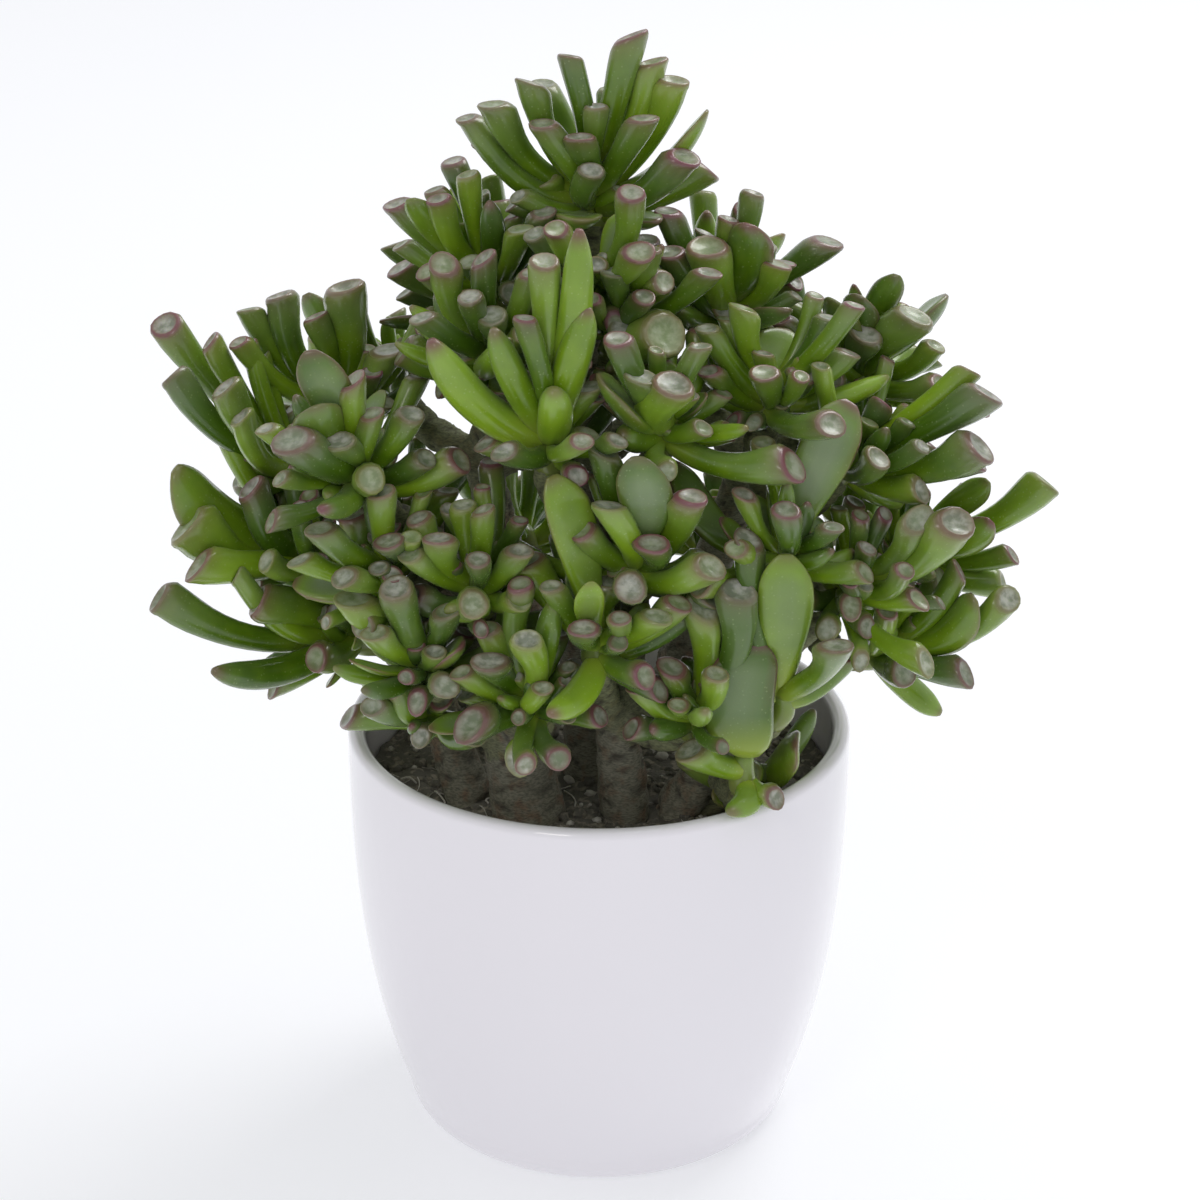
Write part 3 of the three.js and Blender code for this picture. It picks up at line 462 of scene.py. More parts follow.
# Each shoot is (name, stem, joint, foot, (turn, lean) of its stalk, how many more leaves follow the spiral,
# how far those open, its own leaves). A leaf is (kind, turn, lean, length, breadth), with a bow of its own
# where it curves more or less than the others.
shootTable = [
    ("shoot_crown", "stem_middle", "high", (-2, 4, 165), (0, 0), 9, 80, [
        ("trumpet", 185, 55, 42, 9, 44), ("trumpet", 200, 45, 40, 8, 40), ("trumpet", 175, 60, 33, 8, 44),
        ("trumpet", 210, 30, 38, 8, 36), ("tube", 235, 15, 40, 7), ("trumpet", 340, 15, 44, 9),
        ("trumpet", 350, 25, 40, 8, 34), ("trumpet", 350, 35, 40, 9, 40), ("spoon", 345, 50, 42, 11, 44),
        ("trumpet", 330, 60, 34, 10, 38), ("trumpet", 310, 40, 34, 9), ("trumpet", 230, 40, 32, 10),
        ("trumpet", 260, 40, 28, 9), ("trumpet", 270, 55, 26, 9), ("spoon", 265, 80, 24, 12),
        ("spoon", 320, 85, 24, 10),
    ]),
    ("shoot_collar", "stem_middle", "high", (0, -8, 150), (270, 50), 4, 70, [
        ("trumpet", 300, 60, 26, 8), ("trumpet", 240, 50, 30, 8), ("trumpet", 225, 85, 26, 8),
        ("finger", 260, 60, 36, 7), ("trumpet", 285, 110, 20, 7), ("trumpet", 320, 80, 24, 8),
    ]),
    ("shoot_upper_left", "stem_middle", "fork", (-26, 4, 142), (180, 25), 6, 80, [
        ("spoon", 220, 45, 38, 10), ("trumpet", 235, 40, 36, 8), ("finger", 270, 35, 34, 8),
        ("trumpet", 250, 25, 36, 7), ("trumpet", 230, 70, 30, 8), ("trumpet", 195, 50, 34, 9),
        ("trumpet", 310, 40, 34, 8), ("trumpet", 255, 60, 28, 8), ("trumpet", 290, 45, 32, 7),
    ]),
    ("shoot_upper_left_front", "stem_middle", "fork", (-27, -18, 130), (230, 30), 5, 80, [
        ("trumpet", 225, 30, 30, 8), ("trumpet", 270, 25, 32, 8), ("trumpet", 260, 45, 30, 8),
        ("trumpet", 275, 50, 26, 8), ("trumpet", 295, 60, 26, 8), ("trumpet", 310, 35, 34, 8),
        ("finger", 280, 65, 36, 9), ("trumpet", 235, 60, 34, 8),
    ]),
    ("shoot_centre_long", "stem_front", "high", (-13, -42, 112), (270, 5), 3, 60, [
        ("finger", 300, 15, 62, 9), ("finger", 310, 22, 42, 10), ("finger", 200, 45, 46, 12, 38),
        ("finger", 275, 40, 26, 10), ("finger", 225, 30, 40, 10), ("trumpet", 250, 25, 42, 8),
        ("trumpet", 265, 12, 52, 8),
    ]),
    ("shoot_centre_high", "stem_middle", "fork", (4, -12, 134), (300, 15), 5, 75, [
        ("trumpet", 265, 40, 26, 7), ("trumpet", 290, 55, 26, 8), ("trumpet", 295, 35, 30, 8),
        ("trumpet", 300, 75, 28, 14), ("trumpet", 275, 70, 20, 8), ("trumpet", 250, 55, 26, 7),
    ]),
    ("shoot_upper_right", "stem_middle", "fork", (32, 5, 133), (0, 20), 6, 80, [
        ("trumpet", 255, 40, 34, 12), ("spoon", 285, 35, 36, 14), ("trumpet", 300, 20, 36, 7),
        ("trumpet", 310, 50, 28, 8), ("trumpet", 230, 45, 34, 9), ("trumpet", 205, 30, 36, 9),
        ("trumpet", 270, 25, 32, 8),
    ]),
    ("shoot_centre_right", "stem_front", "high", (16, -35, 115), (300, 20), 4, 80, [
        ("trumpet", 275, 50, 30, 14), ("trumpet", 230, 35, 36, 9), ("trumpet", 250, 45, 28, 10),
        ("spoon", 220, 50, 30, 12), ("trumpet", 300, 35, 30, 8), ("finger", 235, 75, 20, 9),
        ("trumpet", 310, 75, 18, 7),
    ]),
    ("shoot_right_front_high", "stem_right", "high", (45, -22, 117), (20, 20), 6, 80, [
        ("trumpet", 215, 55, 26, 8), ("trumpet", 260, 50, 24, 8), ("trumpet", 205, 40, 32, 9),
        ("trumpet", 225, 25, 32, 9), ("trumpet", 290, 55, 24, 7), ("trumpet", 250, 85, 14, 6),
        ("trumpet", 220, 90, 14, 6),
    ]),
    ("shoot_right_high", "stem_back_right", "high", (71, 12, 113), (30, 30), 6, 80, [
        ("spoon", 240, 35, 34, 12), ("trumpet", 205, 50, 34, 9), ("spoon", 260, 30, 32, 11),
        ("spoon", 300, 25, 34, 9), ("trumpet", 305, 45, 32, 12), ("trumpet", 230, 50, 28, 9),
        ("trumpet", 270, 45, 26, 10), ("trumpet", 318, 62, 30, 8), ("trumpet", 310, 78, 34, 8),
        ("trumpet", 275, 75, 20, 7), ("trumpet", 245, 70, 22, 7),
    ]),
    ("shoot_right_out", "stem_right", "high", (65, -18, 99), (20, 45), 5, 70, [
        ("trumpet", 332, 57, 46, 9), ("trumpet", 322, 72, 44, 10), ("trumpet", 340, 48, 42, 8),
        ("finger", 295, 50, 26, 6), ("trumpet", 285, 65, 30, 9), ("tube", 305, 65, 34, 6),
        ("trumpet", 315, 90, 28, 8),
    ]),
    ("shoot_right_far", "stem_back_right", "out", (80, 5, 64), (0, 55), 5, 75, [
        ("trumpet", 335, 58, 48, 9), ("spoon", 330, 45, 34, 8), ("spoon", 318, 62, 34, 9),
        ("trumpet", 300, 25, 24, 8), ("tube", 312, 55, 26, 7), ("trumpet", 335, 85, 34, 7),
        ("trumpet", 298, 60, 26, 9), ("trumpet", 345, 105, 33, 9),
    ]),
    ("shoot_right_low", "stem_right", "fork", (65, -28, 66), (330, 40), 6, 80, [
        ("trumpet", 335, 52, 36, 11), ("trumpet", 322, 40, 30, 8), ("tube", 270, 80, 20, 7),
        ("trumpet", 280, 40, 22, 7), ("tube", 300, 62, 28, 7), ("trumpet", 265, 60, 20, 7),
    ]),
    ("shoot_right_lowest", "stem_back_right", "out", (74, -8, 40), (350, 60), 5, 75, [
        ("trumpet", 342, 62, 38, 8), ("spoon", 325, 52, 34, 11), ("trumpet", 285, 82, 26, 9),
        ("tube", 335, 38, 34, 7), ("trumpet", 310, 30, 24, 7),
    ]),
    ("shoot_front_right", "stem_right", "fork", (47, -47, 39), (300, 20), 1, 75, [
        ("spoon", 275, 8, 44, 15), ("trumpet", 160, 25, 34, 13), ("trumpet", 308, 45, 34, 9),
        ("trumpet", 205, 12, 50, 9),
    ]),
    ("shoot_front_oval", "stem_right", "bend", (40, -54, 22), (270, 8), 0, 75, [
        ("pad", 350, 3, 34, 20), ("trumpet", 200, 62, 20, 9), ("finger", 250, 108, 14, 8),
        ("trumpet", 320, 105, 12, 7),
    ]),
    ("shoot_rim_right", "stem_right", "foot", (42, -28, 9), (330, 60), 2, 70, [
        ("pad", 295, 40, 22, 13), ("spoon", 230, 80, 20, 8), ("trumpet", 200, 60, 24, 9),
        ("trumpet", 250, 55, 14, 7),
    ]),
    ("shoot_right_front_mid", "stem_right", "high", (48, -40, 80), (300, 30), 5, 80, [
        ("spoon", 30, 27, 45, 15, -26), ("trumpet", 265, 40, 24, 8), ("trumpet", 230, 65, 24, 8),
        ("trumpet", 310, 55, 22, 7), ("trumpet", 220, 85, 30, 8),
    ]),
    ("shoot_front_centre_high", "stem_front", "fork", (10, -48, 78), (270, 10), 5, 80, [
        ("trumpet", 220, 50, 26, 9), ("spoon", 270, 20, 36, 13), ("trumpet", 285, 50, 22, 9),
        ("trumpet", 318, 38, 32, 12), ("trumpet", 215, 18, 36, 9), ("trumpet", 240, 35, 28, 9),
        ("trumpet", 320, 70, 28, 10), ("trumpet", 265, 75, 24, 9),
    ]),
    ("shoot_front_centre", "stem_front", "fork", (0, -56, 60), (270, 20), 5, 85, [
        ("trumpet", 345, 55, 28, 8), ("spoon", 195, 15, 50, 14), ("trumpet", 215, 38, 26, 8),
        ("trumpet", 255, 55, 20, 8), ("tube", 290, 50, 22, 7), ("trumpet", 310, 90, 20, 8),
        ("trumpet", 325, 55, 24, 8), ("spoon", 260, 30, 24, 8), ("trumpet", 335, 110, 20, 8),
    ]),
    ("shoot_front_left_low", "stem_large", "front", (-17, -54, 43), (250, 30), 4, 85, [
        ("trumpet", 245, 8, 36, 8), ("finger", 310, 18, 34, 8), ("trumpet", 270, 30, 26, 8),
        ("trumpet", 230, 45, 24, 9), ("trumpet", 285, 55, 18, 7), ("trumpet", 340, 85, 20, 7),
        ("trumpet", 225, 85, 24, 10), ("spoon", 200, 92, 30, 7), ("trumpet", 250, 125, 17, 7),
        ("trumpet", 200, 28, 26, 8), ("trumpet", 290, 105, 22, 7),
    ]),
    ("shoot_front_right_low", "stem_front", "fork", (25, -48, 37), (300, 30), 4, 80, [
        ("trumpet", 210, 55, 24, 7), ("trumpet", 230, 35, 22, 8), ("trumpet", 285, 42, 22, 9),
        ("trumpet", 205, 85, 20, 7), ("trumpet", 250, 60, 20, 7), ("trumpet", 270, 12, 34, 9),
        ("trumpet", 320, 18, 40, 10),
    ]),
    ("shoot_front_left", "stem_large", "high", (-32, -46, 72), (240, 20), 5, 80, [
        ("trumpet", 240, 42, 26, 9), ("trumpet", 285, 28, 30, 8), ("trumpet", 270, 75, 22, 8),
        ("trumpet", 305, 75, 22, 8), ("finger", 250, 80, 20, 9), ("trumpet", 218, 55, 26, 7),
        ("trumpet", 312, 48, 26, 8),
    ]),
    ("shoot_left_front_low", "stem_large", "left", (-46, -48, 51), (230, 25), 5, 80, [
        ("trumpet", 250, 28, 30, 11), ("trumpet", 300, 38, 28, 8), ("spoon", 310, 55, 22, 10),
        ("trumpet", 232, 52, 24, 8), ("trumpet", 320, 80, 20, 8), ("trumpet", 290, 80, 20, 7),
        ("trumpet", 265, 95, 18, 7), ("trumpet", 205, 42, 28, 9),
    ]),
    ("shoot_rim_left", "stem_large", "fork", (-42, -38, 33), (220, 55), 3, 75, [
        ("trumpet", 240, 45, 20, 7), ("trumpet", 228, 65, 22, 8), ("tube", 262, 85, 16, 7),
        ("trumpet", 210, 45, 24, 8),
    ]),
    ("shoot_left_high", "stem_left", "out", (-69, 10, 102), (180, 25), 5, 75, [
        ("trumpet", 285, 18, 42, 12), ("trumpet", 220, 28, 40, 10), ("trumpet", 250, 25, 34, 7),
        ("trumpet", 210, 40, 42, 8), ("trumpet", 320, 38, 30, 9), ("trumpet", 255, 40, 24, 8),
        ("trumpet", 222, 52, 44, 7), ("trumpet", 300, 45, 26, 8),
    ]),
    ("shoot_left_out", "stem_left", "out", (-78, -2, 91), (190, 50), 4, 70, [
        ("trumpet", 188, 38, 54, 8), ("trumpet", 208, 30, 46, 7), ("trumpet", 180, 15, 34, 7),
        ("trumpet", 205, 18, 40, 7), ("trumpet", 212, 47, 48, 9), ("trumpet", 235, 42, 44, 10),
        ("trumpet", 245, 50, 40, 8),
    ]),
    ("shoot_left_front_high", "stem_large", "high", (-63, -35, 102), (220, 25), 4, 80, [
        ("spoon", 245, 38, 28, 13), ("spoon", 232, 22, 38, 12), ("trumpet", 232, 58, 30, 14),
        ("trumpet", 300, 32, 24, 9), ("trumpet", 330, 42, 28, 8), ("trumpet", 285, 72, 20, 8),
        ("trumpet", 262, 50, 22, 9), ("trumpet", 330, 65, 24, 8), ("trumpet", 280, 20, 30, 10),
        ("trumpet", 345, 72, 30, 9),
    ]),
    ("shoot_left_far", "stem_left", "out", (-74, -10, 70), (190, 60), 4, 75, [
        ("pad", 208, 50, 48, 18), ("trumpet", 228, 40, 34, 12), ("trumpet", 180, 32, 42, 8),
        ("trumpet", 215, 12, 28, 9), ("trumpet", 300, 58, 20, 10), ("trumpet", 218, 66, 42, 12),
        ("trumpet", 228, 78, 44, 11), ("tube", 250, 72, 34, 7),
    ]),
    ("shoot_left_low", "stem_left", "bend", (-63, -15, 48), (190, 70), 4, 75, [
        ("trumpet", 208, 68, 58, 9), ("trumpet", 222, 58, 36, 13), ("finger", 226, 84, 50, 9, 26),
        ("tube", 215, 52, 44, 8), ("trumpet", 255, 50, 24, 7), ("trumpet", 248, 82, 26, 10),
    ]),
    ("shoot_left_front_mid", "stem_large", "high", (-54, -42, 75), (220, 25), 4, 80, [
        ("trumpet", 240, 72, 24, 8), ("trumpet", 275, 45, 22, 8), ("trumpet", 248, 102, 22, 8),
        ("trumpet", 295, 45, 24, 8), ("trumpet", 222, 52, 30, 10), ("trumpet", 270, 20, 28, 8),
    ]),
    ("shoot_back_upper_left", "stem_back_left", "high", (-30, 32, 128), (120, 30), 9, 85, []),
    ("shoot_back_upper_right", "stem_back_right", "high", (30, 34, 124), (60, 30), 9, 85, []),
    ("shoot_back_left_high", "stem_back_left", "high", (-56, 42, 98), (140, 45), 9, 85, []),
    ("shoot_back_right_high", "stem_back_right", "high", (58, 42, 96), (40, 45), 9, 85, []),
    ("shoot_back_middle", "stem_back_left", "high", (-4, 54, 92), (90, 45), 9, 85, []),
    ("shoot_back_left", "stem_back_left", "fork", (-52, 44, 56), (150, 60), 9, 85, []),
    ("shoot_back_right", "stem_back_right", "out", (68, 36, 60), (30, 60), 9, 85, []),
    ("shoot_back_low_left", "stem_back_left", "fork", (-22, 56, 44), (105, 65), 8, 80, []),
    ("shoot_back_low_right", "stem_back_right", "fork", (30, 54, 42), (75, 65), 8, 80, []),
    ("shoot_left_side", "stem_left", "bend", (-64, 16, 46), (165, 65), 7, 75, []),
]

plantSet = {
    "stalkLength": 12.0, "stalkRadius": 4.2, "limbTaper": 0.78, "rootTaper": 0.35, "twigBend": 0.35,
    "rootDepth": 34.0, "gap": 0.3, "soilCrown": 3.0, "goldenTurn": 137.5, "shootTurn": 40,
    # a leaf's bow, its cut, and its seat on the stalk: high for an upright leaf, low for an open one
    "leafBow": 23.0, "cutShare": 0.35, "openest": 110, "lowSeat": 0.22, "highSeat": 0.9,
    # the leaves that follow the spiral, and the small ones between them
    "fillKinds": ("trumpet", "trumpet", "tube", "spoon", "trumpet", "finger"),
    "youngLength": 26, "oldGain": 8, "lengthSwing": 8, "fillBreadth": 7.6, "spoonBreadth": 11,
    "breadthSwing": 1.3, "shortenings": (1, 0.8, 0.62), "nudges": (0, 14, -14, 28, -28),
    "smallLeaves": 30, "smallPerLeaf": 8, "smallOpening": (10, 88), "smallLength": (13, 28),
    "smallBreadth": (5.0, 7.4), "smallSlack": 0.9, "smallLowest": 20.0,
}


def pointing(turn, lean):
    # unit vector that turns about the upright from the right-hand side and leans from upright, in degrees
    t, l = math.radians(turn), math.radians(lean)
    return np.array([math.cos(t) * math.sin(l), math.sin(t) * math.sin(l), math.cos(l)])


def carried(turn, lean, heading):
    # the same way for a shoot that heads elsewhere than up: turned as upright turns on to its heading
    way, tilt = pointing(turn, lean), np.cross([0.0, 0.0, 1.0], heading)
    across = np.cross(tilt, way)
    way = way + across + np.cross(tilt, across) / (1 + heading[2])
    return math.degrees(math.atan2(way[1], way[0])), math.degrees(math.acos(np.clip(way[2], -1, 1)))


openKinds = ("trumpet", "tube")  # these end in an oblique cut
flatKinds = ("spoon", "pad")


def leafLines(shoot, kind, turn, lean, length, breadth, bow=plantSet["leafBow"]):
    # a leaf springs from its stalk, nearer the tip the more upright it is, sets out by its bow lower than it
    # points, and curves up to its tip as a quadratic; face is its upper side, side its flat edge
    s, way = plantSet, pointing(turn, lean)
    offAxis = math.degrees(math.acos(np.clip(way @ shoot["heading"], -1, 1)))
    seat = np.clip(1 - offAxis / s["openest"], s["lowSeat"], s["highSeat"])
    foot = shoot["foot"] + shoot["heading"] * s["stalkLength"] * seat
    setOut = pointing(turn, lean + bow * math.sin(math.radians(lean)))
    upright = np.array([0.0, -1.0, 0.0]) if abs(way @ shoot["heading"]) > 0.97 else shoot["heading"]
    face = unitOf(upright - way * (upright @ way))
    reach = length - (s["cutShare"] * breadth if kind in openKinds else 0)
    return {"kind": kind, "way": way, "foot": foot, "middle": foot + setOut * reach / 2,
            "tip": foot + way * reach, "side": np.cross(face, way), "breadth": breadth}


def onCurve(foot, middle, tip, t):
    return foot * (1 - t) ** 2 + middle * 2 * t * (1 - t) + tip * t ** 2


def nearLine(points, start, end):
    # distances from points to straight lines from start to end
    run = end - start
    t = np.clip(((points - start) * run).sum(-1) / (run * run).sum(-1), 0, 1)
    return np.linalg.norm(points - start - run * t[..., None], axis=-1)


def makeShoots(table):
    shoots = []
    for name, stem, joint, (x, y, height), grows, fill, opening, leaves in table:
        shoot = {"name": name, "stem": stem, "joint": joint, "fill": fill, "opening": opening,
                 "foot": np.array([x, y, soilTop + height], float), "heading": pointing(*grows)}
        shoot["leaves"] = [leafLines(shoot, *leaf) for leaf in leaves]
        shoots.append(shoot)
    return shoots


def makeLimbs(joints, shoots):
    # trunks and branches from joint to joint, a root below each stem, and a twig up to each shoot
    s, limbs, at = plantSet, [], {}
    for stem, rows in joints.items():
        for name, parent, x, y, height, radius in rows:
            here = np.array([x, y, soilTop + height], float)
            at[stem, name] = here, radius
            root = (here - [0, 0, s["rootDepth"]], radius * s["rootTaper"])
            start, startRadius = at[stem, parent] if parent else root
            limbs.append({"stem": stem, "from": start, "bend": (start + here) / 2, "to": here,
                          "start": startRadius, "end": radius})
    for shoot in shoots:
        start, radius = at[shoot["stem"], shoot["joint"]]
        to = shoot["foot"] - shoot["heading"] * 1.5 * s["gap"]
        bend = to - shoot["heading"] * s["twigBend"] * np.linalg.norm(to - start)
        limbs.append({"stem": shoot["stem"], "from": start, "bend": bend, "to": to,
                      "start": min(radius, s["stalkRadius"] / s["limbTaper"]), "end": s["stalkRadius"]})
    return limbs


# a leaf's room is tested with balls along its curve, whose radius is a share of its breadth
ballHalf = {"trumpet": 0.4, "tube": 0.44, "finger": 0.42, "spoon": 0.36, "pad": 0.4}
ballPlaces = np.array([0.3, 0.5, 0.7, 0.9])


def fillShoots(shoots, limbs):
    # more leaves follow the golden turn up each shoot, from the upright young ones to the open old ones; each
    # is tried a little round, then shorter, until it has room beside the leaves and limbs that are there
    s = plantSet
    limbFrom, limbTo = (np.array([limb[end] for limb in limbs]) for end in ("from", "to"))
    limbThick = np.array([max(limb["start"], limb["end"]) for limb in limbs])
    far = ballPlaces > 0.4
    at, radius, wide = np.zeros((0, 3)), np.zeros(0), np.zeros(0)
    isFar, owner = np.zeros(0, bool), np.zeros(0, int)

    def ballsOf(leaf):
        middles = np.array([onCurve(leaf["foot"], leaf["middle"], leaf["tip"], t) for t in ballPlaces])
        broad = leaf["breadth"] / 2 if leaf["kind"] in flatKinds else 0
        return middles, ballHalf[leaf["kind"]] * leaf["breadth"], broad

    def hasRoom(middles, half, order, slack):
        # only the small leaves have slack: they may press a little on their neighbours, but keep clear of a
        # flat leaf's whole breadth and of the soil
        reach = np.maximum(radius, wide + slack) if slack else radius
        low = middles[:, 2] - half - (s["smallLowest"] if slack else 0)
        fromAxis = np.hypot(middles[:, 0], middles[:, 1])
        if (low < soilTop + s["soilCrown"] + 1).any():
            return False
        if ((low < potHeight + 1) & (fromAxis > rimRadius - potSet["wall"] - half - 2)).any():
            return False
        touching = np.linalg.norm(at[None] - middles[:, None], axis=-1) < reach[None] + half + s["gap"] - slack
        # the feet of one shoot's leaves may meet, for they share its stalk
        counts = (owner[None] != order) | (isFar[None] & far[:, None])
        if (touching & counts).any():
            return False
        toLimbs = nearLine(middles[far][:, None], limbFrom[None], limbTo[None])
        return bool((toLimbs > limbThick[None] + half + s["gap"] - slack).all())

    def take(leaf, order):
        nonlocal at, radius, wide, isFar, owner
        middles, half, broad = ballsOf(leaf)
        each = np.ones(len(ballPlaces))
        at = np.concatenate([at, middles])
        radius, wide = np.append(radius, half * each), np.append(wide, broad * each)
        isFar, owner = np.append(isFar, far), np.append(owner, np.full(len(ballPlaces), order))

    for order, shoot in enumerate(shoots):
        for leaf in shoot["leaves"]:
            take(leaf, order)
    tries = [(shorter, nudge) for shorter in s["shortenings"] for nudge in s["nudges"]]

    def grow(shoot, order, kind, turn, opening, length, breadth, slack):
        for shorter, nudge in tries:
            way = carried(turn + nudge, opening, shoot["heading"])
            leaf = leafLines(shoot, kind, *way, length * shorter, breadth)
            if hasRoom(*ballsOf(leaf)[:2], order, slack):
                shoot["leaves"].append(leaf)
                take(leaf, order)
                break

    kinds = s["fillKinds"]
    for order, shoot in enumerate(shoots):
        for i in range(shoot["fill"]):
            kind = kinds[(i + order) % len(kinds)]
            opening = shoot["opening"] * math.sqrt((i + 0.6) / shoot["fill"])
            # the old ones are longer, and the sizes swing a little
            length = s["youngLength"] + s["lengthSwing"] * math.sin(2.4 * i + order)
            length += s["oldGain"] * i / shoot["fill"]
            breadth = s["spoonBreadth"] if kind == "spoon" else s["fillBreadth"]
            breadth += s["breadthSwing"] * math.sin(1.7 * i + 3 * order)
            turn = i * s["goldenTurn"] + s["shootTurn"] * order
            grow(shoot, order, kind, turn, opening, length, breadth, 0.0)
    # the small leaves that crowd the gaps between the grown ones
    for order, shoot in enumerate(shoots):
        for i in range(min(s["smallLeaves"], s["smallPerLeaf"] * shoot["fill"])):
            kind = kinds[(2 * i + order) % len(kinds)]
            opening = rng.uniform(*s["smallOpening"])
            length, breadth = rng.uniform(*s["smallLength"]), rng.uniform(*s["smallBreadth"])
            grow(shoot, order, kind, rng.uniform(0, 360), opening, length, breadth, s["smallSlack"])


shoots = makeShoots(shootTable)
limbs = makeLimbs(stemJoints, shoots)
fillShoots(shoots, limbs)
print("plant grown:", sum(len(shoot["leaves"]) for shoot in shoots), "leaves")

# Leaves. A kind's outline runs from its foot: shares of the length, and half breadth and half depth there as
# shares of the breadth.
leafKinds = {
    "trumpet": {
        "shares": [0, 0.06, 0.2, 0.45, 0.75, 0.92, 1], "breadth": [0.2, 0.33, 0.37, 0.38, 0.42, 0.47, 0.47],
        "depth": [0.2, 0.32, 0.36, 0.37, 0.39, 0.41, 0.41], "curl": 0.0,
    },
    "tube": {
        "shares": [0, 0.06, 0.2, 0.45, 0.75, 0.92, 1], "breadth": [0.22, 0.36, 0.42, 0.44, 0.45, 0.48, 0.49],
        "depth": [0.22, 0.36, 0.41, 0.42, 0.43, 0.45, 0.46], "curl": 0.0,
    },
    "finger": {
        "shares": [0, 0.06, 0.25, 0.5, 0.75, 0.9, 1], "breadth": [0.22, 0.34, 0.46, 0.5, 0.46, 0.38, 0.3],
        "depth": [0.22, 0.32, 0.4, 0.42, 0.4, 0.32, 0.26], "curl": 0.0,
    },
    "spoon": {
        "shares": [0, 0.08, 0.25, 0.5, 0.7, 0.88, 1], "breadth": [0.16, 0.2, 0.3, 0.46, 0.53, 0.47, 0.36],
        "depth": [0.14, 0.18, 0.22, 0.22, 0.19, 0.15, 0.12], "curl": 0.16,
    },
    "pad": {
        "shares": [0, 0.08, 0.22, 0.45, 0.7, 0.88, 1], "breadth": [0.2, 0.34, 0.46, 0.51, 0.49, 0.4, 0.3],
        "depth": [0.14, 0.2, 0.22, 0.22, 0.2, 0.15, 0.12], "curl": 0.12,
    },
    "stalk": {
        "shares": [0, 0.3, 0.6, 0.8, 1], "breadth": [0.5, 0.47, 0.4, 0.34, 0.26],
        "depth": [0.5, 0.47, 0.4, 0.34, 0.26], "curl": 0.0,
    },
}
leafSet = {
    "columns": 14, "bodyRows": 12, "closedRows": 18, "cutSlope": (0.15, 0.85), "cupDepth": (0.02, 0.13),
    "lipThick": (0.2, 0.34), "oval": 0.08, "sway": 0.4, "flare": (-0.12, 0.26),
}


def kindRows(kind, s):
    # for each ring up the leaf: its place along the curve, its half breadth and depth, how far it is lifted
    # along the leaf in lips (a lip's thickness) and in cups (a cup's depth), its share of the oblique cut and
    # its marks
    k = leafKinds[kind]
    if kind not in openKinds:
        # closed kinds spend their last rings on a round tip: the outline times a quarter of a circle
        t = 1 - (1 - np.linspace(0, 1, s["closedRows"] + 1)[:-1]) ** 1.5
        roundTip = np.sqrt(np.clip(1 - (np.clip(t - 0.8, 0, 1) / 0.2) ** 2, 0, 1))
        half = lineThrough(t, k["shares"], k["breadth"]) * roundTip
        deep = lineThrough(t, k["shares"], k["depth"]) * roundTip
        none = np.zeros(s["closedRows"])
        blush = 0.95 * smoothStep(0.9, 0.99, t) if kind != "stalk" else none
        return {"t": t, "half": half, "deep": deep, "lip": none, "cup": none, "slip": none, "blush": blush,
                "hollow": none}
    t = np.linspace(0, 1, s["bodyRows"]) ** 0.85
    half, deep = (lineThrough(t, k["shares"], k[edge]) for edge in ("breadth", "depth"))
    # the rings that close an open kind, from the rim of its cut over the lip and down into the cup
    inner = np.array([0.97, 0.89, 0.78, 0.66, 0.46, 0.22])  # share of the end ring that each of them keeps
    lipLift = np.array([0.42, 0.8, 1.0, 1.0, 0.9, 0.85])
    cupLift = np.array([0.0, 0.0, 0.0, -0.3, -0.75, -0.97])
    endBlush = np.array([0.5, 0.95, 1.0, 0.5, 0.15, 0.05])
    endHollow = np.array([0.0, 0.1, 0.4, 0.8, 1, 1])
    level, plain = np.ones(len(inner)), np.zeros(s["bodyRows"])
    return {"t": np.append(t, level), "half": np.append(half, half[-1] * inner),
            "deep": np.append(deep, deep[-1] * inner), "lip": np.append(plain, lipLift),
            "cup": np.append(plain, cupLift), "slip": np.append(smoothStep(0.6, 1, t), level),
            "blush": np.append(0.3 * smoothStep(0.88, 1.0, t), endBlush),
            "hollow": np.append(plain, endHollow)}


